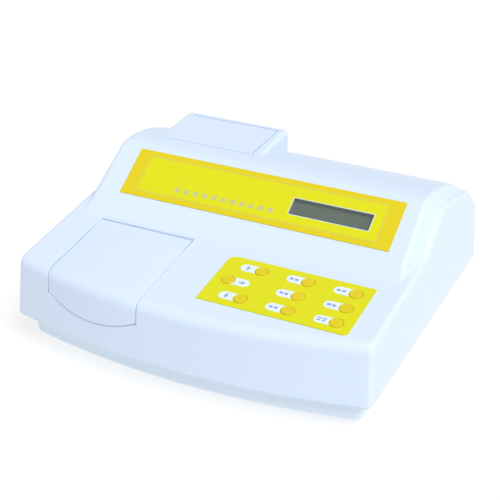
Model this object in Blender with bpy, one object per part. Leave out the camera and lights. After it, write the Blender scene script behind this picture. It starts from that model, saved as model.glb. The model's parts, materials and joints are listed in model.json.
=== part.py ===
"""Bench-top water tester: a two-part plastic case with a sample compartment, a display and a keypad.

Frame: metres, +Z up, the operator at -Y. The origin is the middle of the footprint, on the table.
The case is built from side profiles (outlines in the YZ plane) skinned along X.
"""

import bpy
import bmesh
from math import atan2, cos, pi, radians, sin, sqrt, tan

# ---------------------------------------------------------------- overall sizes
WIDTH = 0.3615
FOOT_HEIGHT = 0.006
BASE_HEIGHT = 0.0237
WALL = 0.003
GAP = 0.0003                      # between pieces that touch

# ---------------------------------------------------------------- upper shell, side profile from the front
PARTING_Z = FOOT_HEIGHT + BASE_HEIGHT
FRONT_HEIGHT = 0.0600             # front wall, up to the deck line at the corners
FRONT_SAG = 0.0228                # how far the middle of the front bows out
FRONT_DRAFT = 0.006
SIDE_DRAFT = 0.330                # share of the half width lost per metre of height
DECK_SLOPE = radians(5.8)
DISPLAY_SLOPE = radians(31.7)
DISPLAY_FOOT = 0.0974             # deck length from the front corners to the display face
CREST_RISE = 0.0551               # crest above the front corners' deck line
CREST_RUN = 0.0364                # level top behind the display face
CROWN_RUN = 0.0476
CROWN_SLOPE = radians(20.6)
REAR_RUN = 0.0391
REAR_SLOPE = radians(42.0)
EDGE_RADIUS = 0.0045
LIP_RADIUS = 0.0025
FRONT_RADIUS = 0.011
HUMP_FOOT_RADIUS = 0.052
CREST_RADIUS = 0.022
CROWN_RADIUS = 0.150
SHOULDER_RADIUS = 0.055
REAR_RADIUS = 0.008
CREST_HEIGHT = FRONT_HEIGHT + CREST_RISE
FACE_TOP = DISPLAY_FOOT + (CREST_RISE - DISPLAY_FOOT * tan(DECK_SLOPE)) / tan(DISPLAY_SLOPE)
CROWN_BACK = FACE_TOP + CREST_RUN
SHOULDER_BACK = CROWN_BACK + CROWN_RUN
REAR_BACK = SHOULDER_BACK + REAR_RUN
REAR_HEIGHT = CREST_HEIGHT - CROWN_RUN * tan(CROWN_SLOPE) - REAR_RUN * tan(REAR_SLOPE)
DEPTH = FRONT_SAG + FRONT_DRAFT + REAR_BACK

# ---------------------------------------------------------------- lower shoulders beside the hump
HUMP_HALF_WIDTH = WIDTH / 2 - 0.01175     # at the parting line, before the side draft
HUMP_END_RUN = 0.0068             # slope of the hump's ends
HUMP_END_RADIUS = 0.0050
SHOULDER_DROP = 0.0125
SHOULDER_SETBACK = 0.0200         # how far its slope lies under the display face
SHOULDER_CROWN_SLOPE = radians(14.7)

# ---------------------------------------------------------------- raised box with the hatch
BOX_X0 = -0.1370
BOX_X1 = -0.0202
BOX_BACK = CROWN_BACK + 0.0595
BOX_FRONT = CROWN_BACK - 0.027
BOX_TOP = CREST_HEIGHT + 0.0012   # at its back
BOX_TILT = radians(1.4)
BOX_RADIUS = 0.005
HATCH_X0 = -0.1273
HATCH_X1 = -0.0302
HATCH_FRONT = CROWN_BACK - 0.011
HATCH_BACK = CROWN_BACK + 0.0532

# ---------------------------------------------------------------- sample lid and compartment
LID_X0 = -0.1395
LID_X1 = -0.0383
LID_BACK = 0.0875
LID_THICKNESS = WALL - 0.0001
LID_PROUD = 0.0003
LID_LIP_MIDDLE = 0.0245           # height of the front tongue's edge above the parting line
LID_LIP_RISE = 0.012              # how much higher it is at the ends
LID_GAP = 0.0006
PIN_RADIUS = 0.0012
BARREL_RADIUS = WALL + PIN_RADIUS + 0.0007      # the pin runs just under the wall
PIN_CLEARANCE = 0.0003
BRACKET_WIDTH = 0.005
POCKET_FLOOR = 0.020              # above the parting line
POCKET_WALL = 0.0025
POCKET_LIP = 0.030                # front wall of the liner
POCKET_BACK = 0.0765
WELL_Y = 0.038                    # from the front corners
WELL_RADIUS = 0.0133
WELL_WALL = 0.003
WELL_BOTTOM = -0.014              # inside, from the parting line
BEAM_HEIGHT = -0.001
BEAM_HOLE = 0.004
PAD_RADIUS = 0.022
PAD_THICKNESS = 0.005

# ---------------------------------------------------------------- display
LABEL_WIDTH = 0.2832
LABEL_X = 0.0038
LABEL_HEIGHT = 0.0543
LABEL_FOOT = 0.0253               # up the display face from its foot
LABEL_THICKNESS = 0.0005
WINDOW_WIDTH = 0.0804
WINDOW_X = 0.0794
WINDOW_HEIGHT = 0.0177
WINDOW_UP = 0.0255                # centre of the window above the label's lower edge
WINDOW_THICKNESS = 0.0022
MODULE_MARGIN = 0.008
MODULE_THICKNESS = 0.008
BOARD_THICKNESS = 0.0016

# ---------------------------------------------------------------- keypad
PAD_X0 = 0.0080
PAD_X1 = 0.1517
PAD_FRONT = 0.0042
PAD_LENGTH = 0.0715
PAD_CORNER = 0.008
OVERLAY_THICKNESS = 0.0006
KEY_RADIUS = 0.0062
KEY_CLEARANCE = 0.0004
KEY_FLANGE = 0.0013
KEY_STEM = 0.0025
KEY_HEIGHT = 0.0014
KEY_FLANGE_DEPTH = 0.0015
KEY_STEM_LENGTH = 0.0046
KEY_TRAVEL = 0.0006
KEY_BOARD_MARGIN = 0.008          # the board under the keys is this much smaller than the overlay
KEY_COLUMNS = (0.0456, 0.0914, 0.1370)
KEY_ROWS = (0.0622, 0.0394, 0.0173)
KEY_ODD_X = 0.0227                # the middle row's first key stands further left

# ---------------------------------------------------------------- base, feet and screws
BASE_INSET = 0.0125
BASE_DRAFT = 0.0015
BASE_RADIUS = 0.005
BASE_FLOOR = 0.003
FOOT_X = WIDTH / 2 - 0.05075
FOOT_FRONT = 0.026
FOOT_BACK = REAR_BACK - 0.0417
FOOT_RADIUS = 0.009
FOOT_PLUG = 0.003
FOOT_PLUG_LENGTH = 0.0030
SCREW_X = WIDTH / 2 - 0.03075
SCREW_FRONT = 0.020
SCREW_BACK = REAR_BACK - 0.0377
SCREW_RADIUS = 0.0015
SCREW_HEAD = 0.0035
SCREW_HEAD_HEIGHT = 0.002
SCREW_LENGTH = 0.013
BOSS_RADIUS = 0.005

# ---------------------------------------------------------------- optics and electronics
BAY_WALL = 0.002
BAY_MARGIN = 0.0010
BAY_FRONT = CROWN_BACK - 0.0165
BAY_BACK = CROWN_BACK + 0.0515
BAY_TOP = CREST_HEIGHT - 0.0136
LAMP_Y = CROWN_BACK + 0.015
BULB_RADIUS = 0.0055
SOCKET_RADIUS = 0.009
TUBE_RADIUS = 0.008
TUBE_WALL = 0.002
LENS_Y = CROWN_BACK - 0.031
LENS_THICKNESS = 0.004
DETECTOR_SIZE = (0.014, 0.020, 0.018)
MAIN_BOARD = (0.150, 0.110)
MAIN_BOARD_X = 0.075
MAIN_BOARD_Y = 0.105
MAIN_BOARD_UP = 0.010             # above the base floor
POST_RADIUS = 0.003
POST_INSET = 0.006
TRANSFORMER_SIZE = (0.056, 0.050, 0.046)
TRANSFORMER_X = 0.100
TRANSFORMER_Y = CROWN_BACK + 0.008

# ---------------------------------------------------------------- rear panel
PANEL_X0 = -0.060
PANEL_X1 = 0.140
PANEL_LOW = 0.008                 # above the parting line
PANEL_HIGH = REAR_HEIGHT - 0.014
PANEL_MARGIN = 0.004              # the panel is this much larger than its opening
PANEL_THICKNESS = 0.002
INLET_X = 0.112
INLET_SIZE = (0.0270, 0.0200)
INLET_POCKET = (0.0240, 0.0165)
INLET_RIM = 0.003
INLET_DEPTH = 0.022
SWITCH_X = 0.076
SWITCH_SIZE = (0.0150, 0.0215)
SWITCH_HOLE = (0.0118, 0.0184)
SWITCH_DEPTH = 0.016
ROCKER_TILT = radians(8.0)
ROCKER_THICKNESS = 0.006
ROCKER_DEPTH = 0.0015
FUSE_X = 0.050
FUSE_RADIUS = 0.0062
FUSE_BORE = 0.0052
FUSE_DEPTH = 0.030
FUSE_CAP = 0.0070
PORT_X = 0.014
PORT_SIZE = (0.0170, 0.0090)
PORT_FLANGE = (0.0308, 0.0125)
PORT_DEPTH = 0.012
VENT_X = -0.032
VENT_COUNT = 7
VENT_PITCH = 0.006
VENT_WIDTH = 0.0025
VENT_HEIGHT = 0.024

HALF_WIDTH = WIDTH / 2
CORNER_Y = -DEPTH / 2 + FRONT_SAG + FRONT_DRAFT      # where the deck starts at the front corners
REAR_Y = DEPTH / 2
CENTRE_X = (LID_X0 + LID_X1) / 2
NEAR_ZERO = 0.0002
HINGE_SIDE = LID_GAP + GAP        # from a cover's end to its hinge bracket

COLOURS = {
    "case": ((0.78, 0.84, 0.90), 0.35, 0.0),
    "lid": ((0.76, 0.82, 0.89), 0.35, 0.0),
    "yellow": ((0.83, 0.80, 0.03), 0.40, 0.0),
    "orange": ((0.86, 0.62, 0.04), 0.40, 0.0),
    "glass": ((0.17, 0.21, 0.18), 0.10, 0.0),
    "lcd": ((0.16, 0.20, 0.17), 0.20, 0.0),
    "board": ((0.02, 0.16, 0.06), 0.50, 0.0),
    "black": ((0.02, 0.02, 0.022), 0.60, 0.0),
    "rubber": ((0.03, 0.03, 0.03), 0.80, 0.0),
    "steel": ((0.56, 0.57, 0.58), 0.30, 1.0),
    "panel": ((0.62, 0.64, 0.66), 0.40, 0.0),
    "copper": ((0.50, 0.22, 0.10), 0.40, 0.6),
    "clear": ((0.85, 0.88, 0.90), 0.05, 0.0),
}


# ---------------------------------------------------------------- outlines
def up(height):
    """Height above the parting line, as a world height."""
    return PARTING_Z + height


def back(distance):
    """Distance behind the front corners, as a world Y."""
    return CORNER_Y + distance


def deck_height(distance):
    return up(FRONT_HEIGHT) + distance * tan(DECK_SLOPE)


def front_y(x, z):
    """The bowed and drafted front wall."""
    sag = FRONT_SAG * min(1.0, (x / HALF_WIDTH) ** 2)
    return -DEPTH / 2 + sag + FRONT_DRAFT * (z - PARTING_Z) / FRONT_HEIGHT


def meet(p, a, q, b):
    """Where a line through p at angle a meets a line through q at angle b."""
    across = sin(b - a)
    t = ((q[0] - p[0]) * sin(b) - (q[1] - p[1]) * cos(b)) / across
    return (p[0] + t * cos(a), p[1] + t * sin(a))


def inset(corners, amount):
    """Move every edge of a clockwise-in-YZ outline inwards and adapt the corner radii."""
    moved = []
    count = len(corners)
    for i, (y, z, radius, steps) in enumerate(corners):
        before = corners[i - 1]
        after = corners[(i + 1) % count]
        a = atan2(z - before[1], y - before[0])
        b = atan2(after[1] - z, after[0] - y)
        p = (y + amount * sin(a), z - amount * cos(a))
        q = (y + amount * sin(b), z - amount * cos(b))
        turn = sin(b - a)
        place = meet(p, a, q, b)
        convex = turn < 0
        new_radius = radius - amount if convex else radius + amount
        moved.append((place[0], place[1], max(NEAR_ZERO, new_radius), steps))
    return moved


def rounded(corners):
    """Points of an outline whose corners are arcs; every corner gives steps + 1 points."""
    points = []
    count = len(corners)
    for i, (y, z, radius, steps) in enumerate(corners):
        before = corners[i - 1]
        after = corners[(i + 1) % count]
        a = atan2(z - before[1], y - before[0])
        b = atan2(after[1] - z, after[0] - y)
        turn = (b - a + pi) % (2 * pi) - pi
        side = 1 if turn > 0 else -1
        reach = radius * tan(abs(turn) / 2)
        start = (y - reach * cos(a), z - reach * sin(a))
        centre = (start[0] - side * radius * sin(a), start[1] + side * radius * cos(a))
        for step in range(steps + 1):
            angle = a + turn * step / steps - side * pi / 2
            points.append((centre[0] + radius * cos(angle), centre[1] + radius * sin(angle)))
    return points


def hump_corners(x):
    """Side profile through the display hump, from the front lip over the top to the rear lip."""
    low = up(0.0)
    deck = (back(0.0), deck_height(0.0))
    wall_angle = atan2(FRONT_HEIGHT, FRONT_DRAFT)
    front_top = meet((front_y(x, low), low), wall_angle, deck, DECK_SLOPE)
    foot = (back(DISPLAY_FOOT), deck_height(DISPLAY_FOOT))
    crest = up(CREST_HEIGHT)
    face_top = meet(foot, DISPLAY_SLOPE, (0.0, crest), 0.0)
    crown = (back(CROWN_BACK), crest)
    run = SHOULDER_BACK - CROWN_BACK
    shoulder = (back(SHOULDER_BACK), crest - run * tan(CROWN_SLOPE))
    rear_top = meet(shoulder, -REAR_SLOPE, (REAR_Y, low), pi / 2)
    return [
        (front_y(x, low), low, LIP_RADIUS, 2),
        (*front_top, FRONT_RADIUS, 4),
        (*foot, HUMP_FOOT_RADIUS, 4),
        (*face_top, CREST_RADIUS, 3),
        (*crown, CROWN_RADIUS, 4),
        (*shoulder, SHOULDER_RADIUS, 3),
        (*rear_top, REAR_RADIUS, 3),
        (REAR_Y, low, LIP_RADIUS, 2),
    ]


def shoulder_corners(x):
    """The lower profile beside the hump, which keeps the deck, the rear slope and both walls."""
    hump = hump_corners(x)
    foot = (back(DISPLAY_FOOT), deck_height(DISPLAY_FOOT) - SHOULDER_SETBACK)
    deck = (back(0.0), deck_height(0.0))
    lower_foot = meet(foot, DISPLAY_SLOPE, deck, DECK_SLOPE)
    crest = up(CREST_HEIGHT) - SHOULDER_DROP
    face_top = meet(foot, DISPLAY_SLOPE, (0.0, crest), 0.0)
    crown = (back(CROWN_BACK), crest)
    rear_top = hump[6]
    shoulder = meet(crown, -SHOULDER_CROWN_SLOPE, rear_top[:2], -REAR_SLOPE)
    return [
        hump[0],
        hump[1],
        (*lower_foot, HUMP_FOOT_RADIUS / 2, 4),
        (*face_top, CREST_RADIUS, 3),
        (*crown, CROWN_RADIUS / 2, 4),
        (*shoulder, SHOULDER_RADIUS / 2, 3),
        rear_top,
        hump[7],
    ]


def case_stations(depth):
    """(x, outline) stations of the case, moved inwards everywhere by depth."""
    crease = HUMP_HALF_WIDTH - depth
    ledge = HUMP_HALF_WIDTH + HUMP_END_RUN - depth
    flat = crease - HUMP_END_RADIUS
    half = [(share * flat, hump_corners, depth) for share in (0.0, 0.2, 0.4, 0.6, 0.8, 1.0)]
    for run, drop in ((0.5, 0.13), (1.0, 0.40)):
        half.append((flat + run * HUMP_END_RADIUS, hump_corners, depth + drop * HUMP_END_RADIUS))
    half.append((ledge, shoulder_corners, depth))
    if depth < EDGE_RADIUS / 3:
        for turn in (0, pi / 6, pi / 3, pi / 2):
            x = HALF_WIDTH - EDGE_RADIUS + EDGE_RADIUS * sin(turn)
            half.append((x, shoulder_corners, EDGE_RADIUS * (1 - cos(turn))))
    else:
        half.append((HALF_WIDTH - depth, shoulder_corners, depth))
    mirrored = [(-x, outline, amount) for x, outline, amount in reversed(half[1:])]
    return [(x, rounded(inset(outline(x), amount))) for x, outline, amount in mirrored + half]


def drafted(x, z):
    """The side draft narrows the case towards the top."""
    return x * (1 - SIDE_DRAFT * (z - PARTING_Z))


# ---------------------------------------------------------------- mesh tools
def clear_scene():
    for item in list(bpy.data.objects):
        bpy.data.objects.remove(item)


def material(name):
    found = bpy.data.materials.get(name)
    if found:
        return found
    colour, roughness, metallic = COLOURS[name]
    made = bpy.data.materials.new(name)
    made.use_nodes = True
    shader = made.node_tree.nodes["Principled BSDF"]
    shader.inputs["Base Color"].default_value = (*colour, 1.0)
    shader.inputs["Roughness"].default_value = roughness
    shader.inputs["Metallic"].default_value = metallic
    return made


def add_mesh(name, vertices, faces, finish):
    """A new object from points and faces, with its faces pointing out; finish None makes a helper."""
    mesh = bpy.data.meshes.new(name)
    mesh.from_pydata(vertices, [], faces)
    bm = bmesh.new()
    bm.from_mesh(mesh)
    bmesh.ops.recalc_face_normals(bm, faces=bm.faces)
    bm.to_mesh(mesh)
    bm.free()
    item = bpy.data.objects.new(name, mesh)
    bpy.context.collection.objects.link(item)
    if finish is None:
        item.hide_render = True
        item.display_type = "WIRE"
    else:
        mesh.materials.append(material(finish))
        mesh.shade_smooth()
        mesh.set_sharp_from_angle(angle=radians(30))
    return item


def skin(name, rings, finish):
    """Bridge equal rings of points and close both ends."""
    size = len(rings[0])
    vertices = [point for ring in rings for point in ring]
    faces = [tuple(range(size)), tuple(range(len(vertices) - size, len(vertices)))]
    for k in range(len(rings) - 1):
        for i in range(size):
            j = (i + 1) % size
            faces.append((k * size + i, k * size + j, (k + 1) * size + j, (k + 1) * size + i))
    return add_mesh(name, vertices, faces, finish)


def loft(name, stations, finish, narrow=False):
    """Skin YZ outlines along X; narrow applies the case's side draft."""
    rings = []
    for x, outline in stations:
        rings.append([(drafted(x, z) if narrow else x, y, z) for y, z in outline])
    return skin(name, rings, finish)


def block(name, low, high, finish):
    ring = [(low[1], low[2]), (high[1], low[2]), (high[1], high[2]), (low[1], high[2])]
    return loft(name, [(low[0], ring), (high[0], ring)], finish)


AXES = {
    "X": lambda a, b, t: (t, a, b),
    "Y": lambda a, b, t: (a, t, b),
    "Z": lambda a, b, t: (a, b, t),
}


def turned(name, centre, axis, profile, finish, sides=16):
    """A turned solid: profile is a list of (radius, distance along the axis)."""
    rings = []
    for radius, along in profile:
        ring = []
        for side in range(sides):
            angle = 2 * pi * (side + 0.5) / sides
            offset = AXES[axis](radius * cos(angle), radius * sin(angle), along)
            ring.append(tuple(c + o for c, o in zip(centre, offset)))
        rings.append(ring)
    return skin(name, rings, finish)


def boolean(item, other, operation):
    modifier = item.modifiers.new(other.name, "BOOLEAN")
    modifier.operation = operation
    modifier.solver = "EXACT"
    modifier.object = other


def cut(item, other):
    boolean(item, other, "DIFFERENCE")


def unite(item, other):
    boolean(item, other, "UNION")


def set_origin(item, place):
    """Put the object's origin on its joint axis without moving its mesh."""
    mesh = item.data
    for vertex in mesh.vertices:
        vertex.co = [c - p for c, p in zip(vertex.co, place)]
    item.location = place


def plane_empty(name, place, slope):
    """A guide whose XY plane is a sloping face of the case."""
    guide = bpy.data.objects.new(name, None)
    bpy.context.collection.objects.link(guide)
    guide.location = place
    guide.rotation_euler = (slope, 0.0, 0.0)
    return guide


def on_plane(item, guide):
    item.parent = guide
    return item


# ---------------------------------------------------------------- case
def box_stations(depth):
    """The raised box, with rounded ends."""
    top = up(BOX_TOP)
    low = up(BOX_TOP / 2) + depth
    front_drop = (BOX_BACK - BOX_FRONT) * tan(BOX_TILT)
    corners = [
        (back(BOX_FRONT), low, NEAR_ZERO, 1),
        (back(BOX_FRONT), top - front_drop, NEAR_ZERO, 1),
        (back(BOX_BACK), top, BOX_RADIUS, 4),
        (back(BOX_BACK), low, NEAR_ZERO, 1),
    ]
    if depth > 0:
        ends = [(BOX_X0 + depth, depth), (BOX_X1 - depth, depth)]
    else:
        turns = (pi / 2, pi / 3, pi / 6, 0)
        reach = [(BOX_RADIUS * (1 - sin(turn)), BOX_RADIUS * (1 - cos(turn))) for turn in turns]
        ends = [(BOX_X0 + run, drop) for run, drop in reach]
        ends += [(BOX_X1 - run, drop) for run, drop in reversed(reach)]
    return [(x, rounded(inset(corners, amount))) for x, amount in ends]


def base_outline(x, depth, low, high):
    """Section of the base tray; the front follows the shell's bow."""
    front = front_y(x, PARTING_Z) + BASE_INSET + depth
    rear = REAR_Y - BASE_INSET - depth
    radius = max(NEAR_ZERO, BASE_RADIUS - depth)
    return [
        (front + BASE_DRAFT, low, radius, 3),
        (front, high, NEAR_ZERO, 1),
        (rear, high, NEAR_ZERO, 1),
        (rear - BASE_DRAFT, low, radius, 3),
    ]


def base_stations(depth, low, high):
    half_width = HALF_WIDTH - BASE_INSET
    half = [share * (half_width - BASE_RADIUS) for share in (0.0, 0.3, 0.6, 0.85)]
    stations = [(x, depth) for x in half]
    if depth > 0:
        stations.append((half_width - depth, depth))
    else:
        for turn in (0, pi / 4, pi / 2):
            x = half_width - BASE_RADIUS + BASE_RADIUS * sin(turn)
            stations.append((x, BASE_RADIUS * (1 - cos(turn))))
    mirrored = [(-x, amount) for x, amount in reversed(stations[1:])]
    result = []
    for x, amount in mirrored + stations:
        rise = amount if depth == 0 else 0.0
        outline = base_outline(x, amount, low + rise, high)
        result.append((x, rounded(outline)))
    return result


def screw_places():
    return [(sx * SCREW_X, back(y)) for y in (SCREW_FRONT, SCREW_BACK) for sx in (-1, 1)]


def make_upper_shell():
    shell = loft("upper_shell", case_stations(0.0), "case", narrow=True)
    unite(shell, loft("box_outer", box_stations(0.0), None))
    cut(shell, loft("case_inside", case_stations(WALL), None, narrow=True))
    cut(shell, loft("box_inside", box_stations(WALL), None))
    throat = base_stations(WALL, up(-WALL), up(2 * WALL))
    cut(shell, loft("throat", throat, None))
    middle = loft("wall_middle", case_stations(WALL / 2), None, narrow=True)
    for number, (x, y) in enumerate(screw_places(), 1):
        low = FOOT_HEIGHT + BASE_FLOOR + GAP
        height = up(CREST_HEIGHT) - low
        boss = turned(f"boss_{number}", (x, y, low), "Z",
                      [(BOSS_RADIUS, 0), (BOSS_RADIUS, height)], None, 12)
        guard = block(f"boss_guard_{number}", (x - 0.01, y - 0.01, low - WALL),
                      (x + 0.01, y + 0.01, up(2 * WALL)), None)
        trimmed = turned(f"boss_{number}_top", (x, y, up(WALL * 1.5)), "Z",
                         [(BOSS_RADIUS, 0), (BOSS_RADIUS, height)], None, 12)
        boolean(trimmed, middle, "INTERSECT")
        boolean(boss, guard, "INTERSECT")
        unite(boss, trimmed)
        unite(shell, boss)
        cut(shell, turned(f"boss_bore_{number}", (x, y, low - WALL), "Z",
                          [(SCREW_RADIUS + GAP / 2, 0), (SCREW_RADIUS + GAP / 2, SCREW_LENGTH + WALL)],
                          None, 8))
    cut(shell, make_lid_cutter())
    cut(shell, make_hatch_cutter())
    return shell


def make_base_tray():
    high = PARTING_Z - GAP
    tray = loft("base_tray", base_stations(0.0, FOOT_HEIGHT, high), "case")
    inside = base_stations(WALL, FOOT_HEIGHT + BASE_FLOOR, high + WALL)
    cut(tray, loft("base_inside", inside, None))
    floor_low = FOOT_HEIGHT - WALL
    floor_high = FOOT_HEIGHT + BASE_FLOOR + WALL
    for number, (x, y) in enumerate(screw_places(), 1):
        radius = SCREW_RADIUS + GAP
        cut(tray, turned(f"screw_hole_{number}", (x, y, 0), "Z",
                         [(radius, floor_low), (radius, floor_high)], None, 8))
    for number, (x, y) in enumerate(foot_places(), 1):
        radius = FOOT_PLUG + GAP
        cut(tray, turned(f"foot_hole_{number}", (x, y, 0), "Z",
                         [(radius, floor_low), (radius, floor_high)], None, 10))
    for number, (x, y) in enumerate(post_places(), 1):
        low = FOOT_HEIGHT + BASE_FLOOR / 2
        top = FOOT_HEIGHT + BASE_FLOOR + MAIN_BOARD_UP - GAP
        unite(tray, turned(f"post_{number}", (x, y, 0), "Z",
                           [(POST_RADIUS, low), (POST_RADIUS, top)], None, 8))
    return tray


def foot_places():
    return [(sx * FOOT_X, back(y)) for y in (FOOT_FRONT, FOOT_BACK) for sx in (-1, 1)]


def post_places():
    half_x = MAIN_BOARD[0] / 2 - POST_INSET
    half_y = MAIN_BOARD[1] / 2 - POST_INSET
    centre = (MAIN_BOARD_X, back(MAIN_BOARD_Y))
    return [(centre[0] + sx * half_x, centre[1] + sy * half_y) for sx in (-1, 1) for sy in (-1, 1)]


def make_feet_and_screws():
    under = FOOT_HEIGHT - GAP
    for number, (x, y) in enumerate(foot_places(), 1):
        profile = [(FOOT_RADIUS * 0.85, 0), (FOOT_RADIUS, under), (FOOT_PLUG, under),
                   (FOOT_PLUG, under + FOOT_PLUG_LENGTH)]
        turned(f"rubber_foot_{number}", (x, y, 0), "Z", profile, "rubber", 20)
    for number, (x, y) in enumerate(screw_places(), 1):
        profile = [(SCREW_HEAD, under - SCREW_HEAD_HEIGHT), (SCREW_HEAD, under), (SCREW_RADIUS, under),
                   (SCREW_RADIUS, under + SCREW_LENGTH)]
        turned(f"case_screw_{number}", (x, y, 0), "Z", profile, "steel", 8)


# ---------------------------------------------------------------- hinged covers
def lid_axis():
    """Centre of the lid's hinge barrel, under the deck's surface."""
    along = (LID_BACK - BARREL_RADIUS) / cos(DECK_SLOPE)
    depth = BARREL_RADIUS - LID_PROUD
    y = back(along * cos(DECK_SLOPE)) + depth * sin(DECK_SLOPE)
    z = deck_height(0) + along * sin(DECK_SLOPE) - depth * cos(DECK_SLOPE)
    return (y, z)


def hatch_axis():
    y = back(HATCH_BACK - BARREL_RADIUS)
    z = box_top_height(HATCH_BACK - BARREL_RADIUS) - (BARREL_RADIUS - LID_PROUD)
    return (y, z)


def box_top_height(distance):
    return up(BOX_TOP) - (BOX_BACK - distance) * tan(BOX_TILT)


def barrel_points(axis, slope, steps=10):
    """The barrel's outline from under the plate, round the back and up to the top."""
    lift = (BARREL_RADIUS - LID_PROUD - LID_THICKNESS) / BARREL_RADIUS
    start = pi - atan2(lift, sqrt(1 - lift * lift))
    points = []
    for step in range(steps + 1):
        angle = start + (pi / 2 + 2 * pi - start) * step / steps + slope
        points.append((axis[0] + BARREL_RADIUS * cos(angle), axis[1] + BARREL_RADIUS * sin(angle)))
    return points


def tongue_height(x):
    """Lower edge of the lid's front tongue, lowest in the middle."""
    share = (x - CENTRE_X) / ((LID_X1 - LID_X0) / 2)
    return up(LID_LIP_MIDDLE + LID_LIP_RISE * share * share)


def front_corner_points(x, depth, low):
    """From the deck over the rounded front edge and down the front wall to a height."""
    corners = inset(hump_corners(x), depth)
    arc = rounded(corners)[3:8]
    wall_angle = atan2(FRONT_HEIGHT, FRONT_DRAFT)
    bottom = meet(corners[0][:2], wall_angle, (0.0, low), 0.0)
    return [*reversed(arc), bottom]


def lid_outline(x):
    outer = front_corner_points(x, -LID_PROUD, tongue_height(x))
    inner = front_corner_points(x, LID_THICKNESS, tongue_height(x))
    return [*outer, *reversed(inner), *barrel_points(lid_axis(), DECK_SLOPE)]


def spread(low, high, count):
    return [low + (high - low) * step / count for step in range(count + 1)]


def pin_hole(name, x0, x1, axis):
    radius = PIN_RADIUS + PIN_CLEARANCE
    profile = [(radius, x0 - WALL), (radius, x1 + WALL)]
    return turned(name, (0, *axis), "X", profile, None, 10)


def make_sample_lid():
    lid = loft("sample_lid", [(x, lid_outline(x)) for x in spread(LID_X0, LID_X1, 8)], "lid")
    cut(lid, pin_hole("lid_bore", LID_X0, LID_X1, lid_axis()))
    set_origin(lid, (CENTRE_X, *lid_axis()))
    ends = (LID_X0 - HINGE_SIDE - BRACKET_WIDTH, LID_X1 + HINGE_SIDE + BRACKET_WIDTH)
    make_hinge("lid", (LID_X0, LID_X1), ends, lid_axis(), DECK_SLOPE)


def make_lid_cutter():
    outlines = []
    rear = back(LID_BACK) + LID_GAP
    for x in spread(LID_X0 - LID_GAP, LID_X1 + LID_GAP, 8):
        low = tongue_height(x) - LID_GAP
        outer = front_corner_points(x, -2 * WALL, low)
        inner = front_corner_points(x, 2 * WALL, low)
        top = deck_height(LID_BACK) + 2 * WALL
        bottom = deck_height(LID_BACK) - 2 * WALL
        outlines.append((x, [(rear, top), *outer, *reversed(inner), (rear, bottom)]))
    return loft("lid_opening", outlines, None)


def hatch_outline(_x):
    front = back(HATCH_FRONT)
    high = box_top_height(HATCH_FRONT) + LID_PROUD
    low = high - LID_PROUD - LID_THICKNESS
    return [(front, high), (front, low), *barrel_points(hatch_axis(), BOX_TILT)]


def make_rear_hatch():
    hatch = loft("rear_hatch", [(x, hatch_outline(x)) for x in (HATCH_X0, HATCH_X1)], "lid")
    cut(hatch, pin_hole("hatch_bore", HATCH_X0, HATCH_X1, hatch_axis()))
    set_origin(hatch, ((HATCH_X0 + HATCH_X1) / 2, *hatch_axis()))
    ends = (BOX_X0 + WALL + GAP, BOX_X1 - WALL - GAP)
    make_hinge("hatch", (HATCH_X0, HATCH_X1), ends, hatch_axis(), BOX_TILT)


def make_hatch_cutter():
    low = (HATCH_X0 - LID_GAP, back(HATCH_FRONT) - LID_GAP, up(BOX_TOP) - 4 * WALL)
    high = (HATCH_X1 + LID_GAP, back(HATCH_BACK) + LID_GAP, up(BOX_TOP) + 2 * WALL)
    return block("hatch_opening", low, high, None)


def make_hinge(name, cover, ends, axis, slope):
    """A steel pin and the two brackets under the case wall that hold its ends."""
    turned(f"{name}_hinge_pin", (0, *axis), "X",
           [(PIN_RADIUS, ends[0] + WALL / 3), (PIN_RADIUS, ends[1] - WALL / 3)], "steel", 10)
    for label, low, high in (("left", ends[0], cover[0] - HINGE_SIDE),
                             ("right", cover[1] + HINGE_SIDE, ends[1])):
        top = BARREL_RADIUS - LID_PROUD - WALL - GAP
        half = BARREL_RADIUS - WALL / 2
        bracket = loft(f"{name}_bracket_{label}",
                       [(x, turned_outline(axis, slope, half, top)) for x in (low, high)], "black")
        cut(bracket, turned(f"{name}_{label}_notch", (0, *axis), "X",
                            [(PIN_RADIUS + GAP, low - WALL), (PIN_RADIUS + GAP, high + WALL)], None, 10))


def turned_outline(axis, slope, half, top):
    """A rectangle under the sloping wall, as tall below the axis as it is wide."""
    corners = [(-half, top), (half, top), (half, -2 * half), (-half, -2 * half)]
    return [(axis[0] + a * cos(slope) - b * sin(slope), axis[1] + a * sin(slope) + b * cos(slope))
            for a, b in corners]


def make_light_pad():
    """A foam disc under the lid, over the well, with its origin on the lid's hinge."""
    axis = lid_axis()
    run = back(WELL_Y) - axis[0]
    rise = deck_height(WELL_Y) - axis[1]
    along = run * cos(DECK_SLOPE) + rise * sin(DECK_SLOPE)
    top = rise * cos(DECK_SLOPE) - run * sin(DECK_SLOPE) - LID_THICKNESS - GAP
    pad = turned("light_seal_pad", (0, along, 0), "Z",
                 [(PAD_RADIUS * 0.9, top - PAD_THICKNESS), (PAD_RADIUS, top - PAD_THICKNESS / 2),
                  (PAD_RADIUS, top)], "black", 20)
    pad.location = (CENTRE_X, *axis)
    pad.rotation_euler = (DECK_SLOPE, 0, 0)


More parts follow.
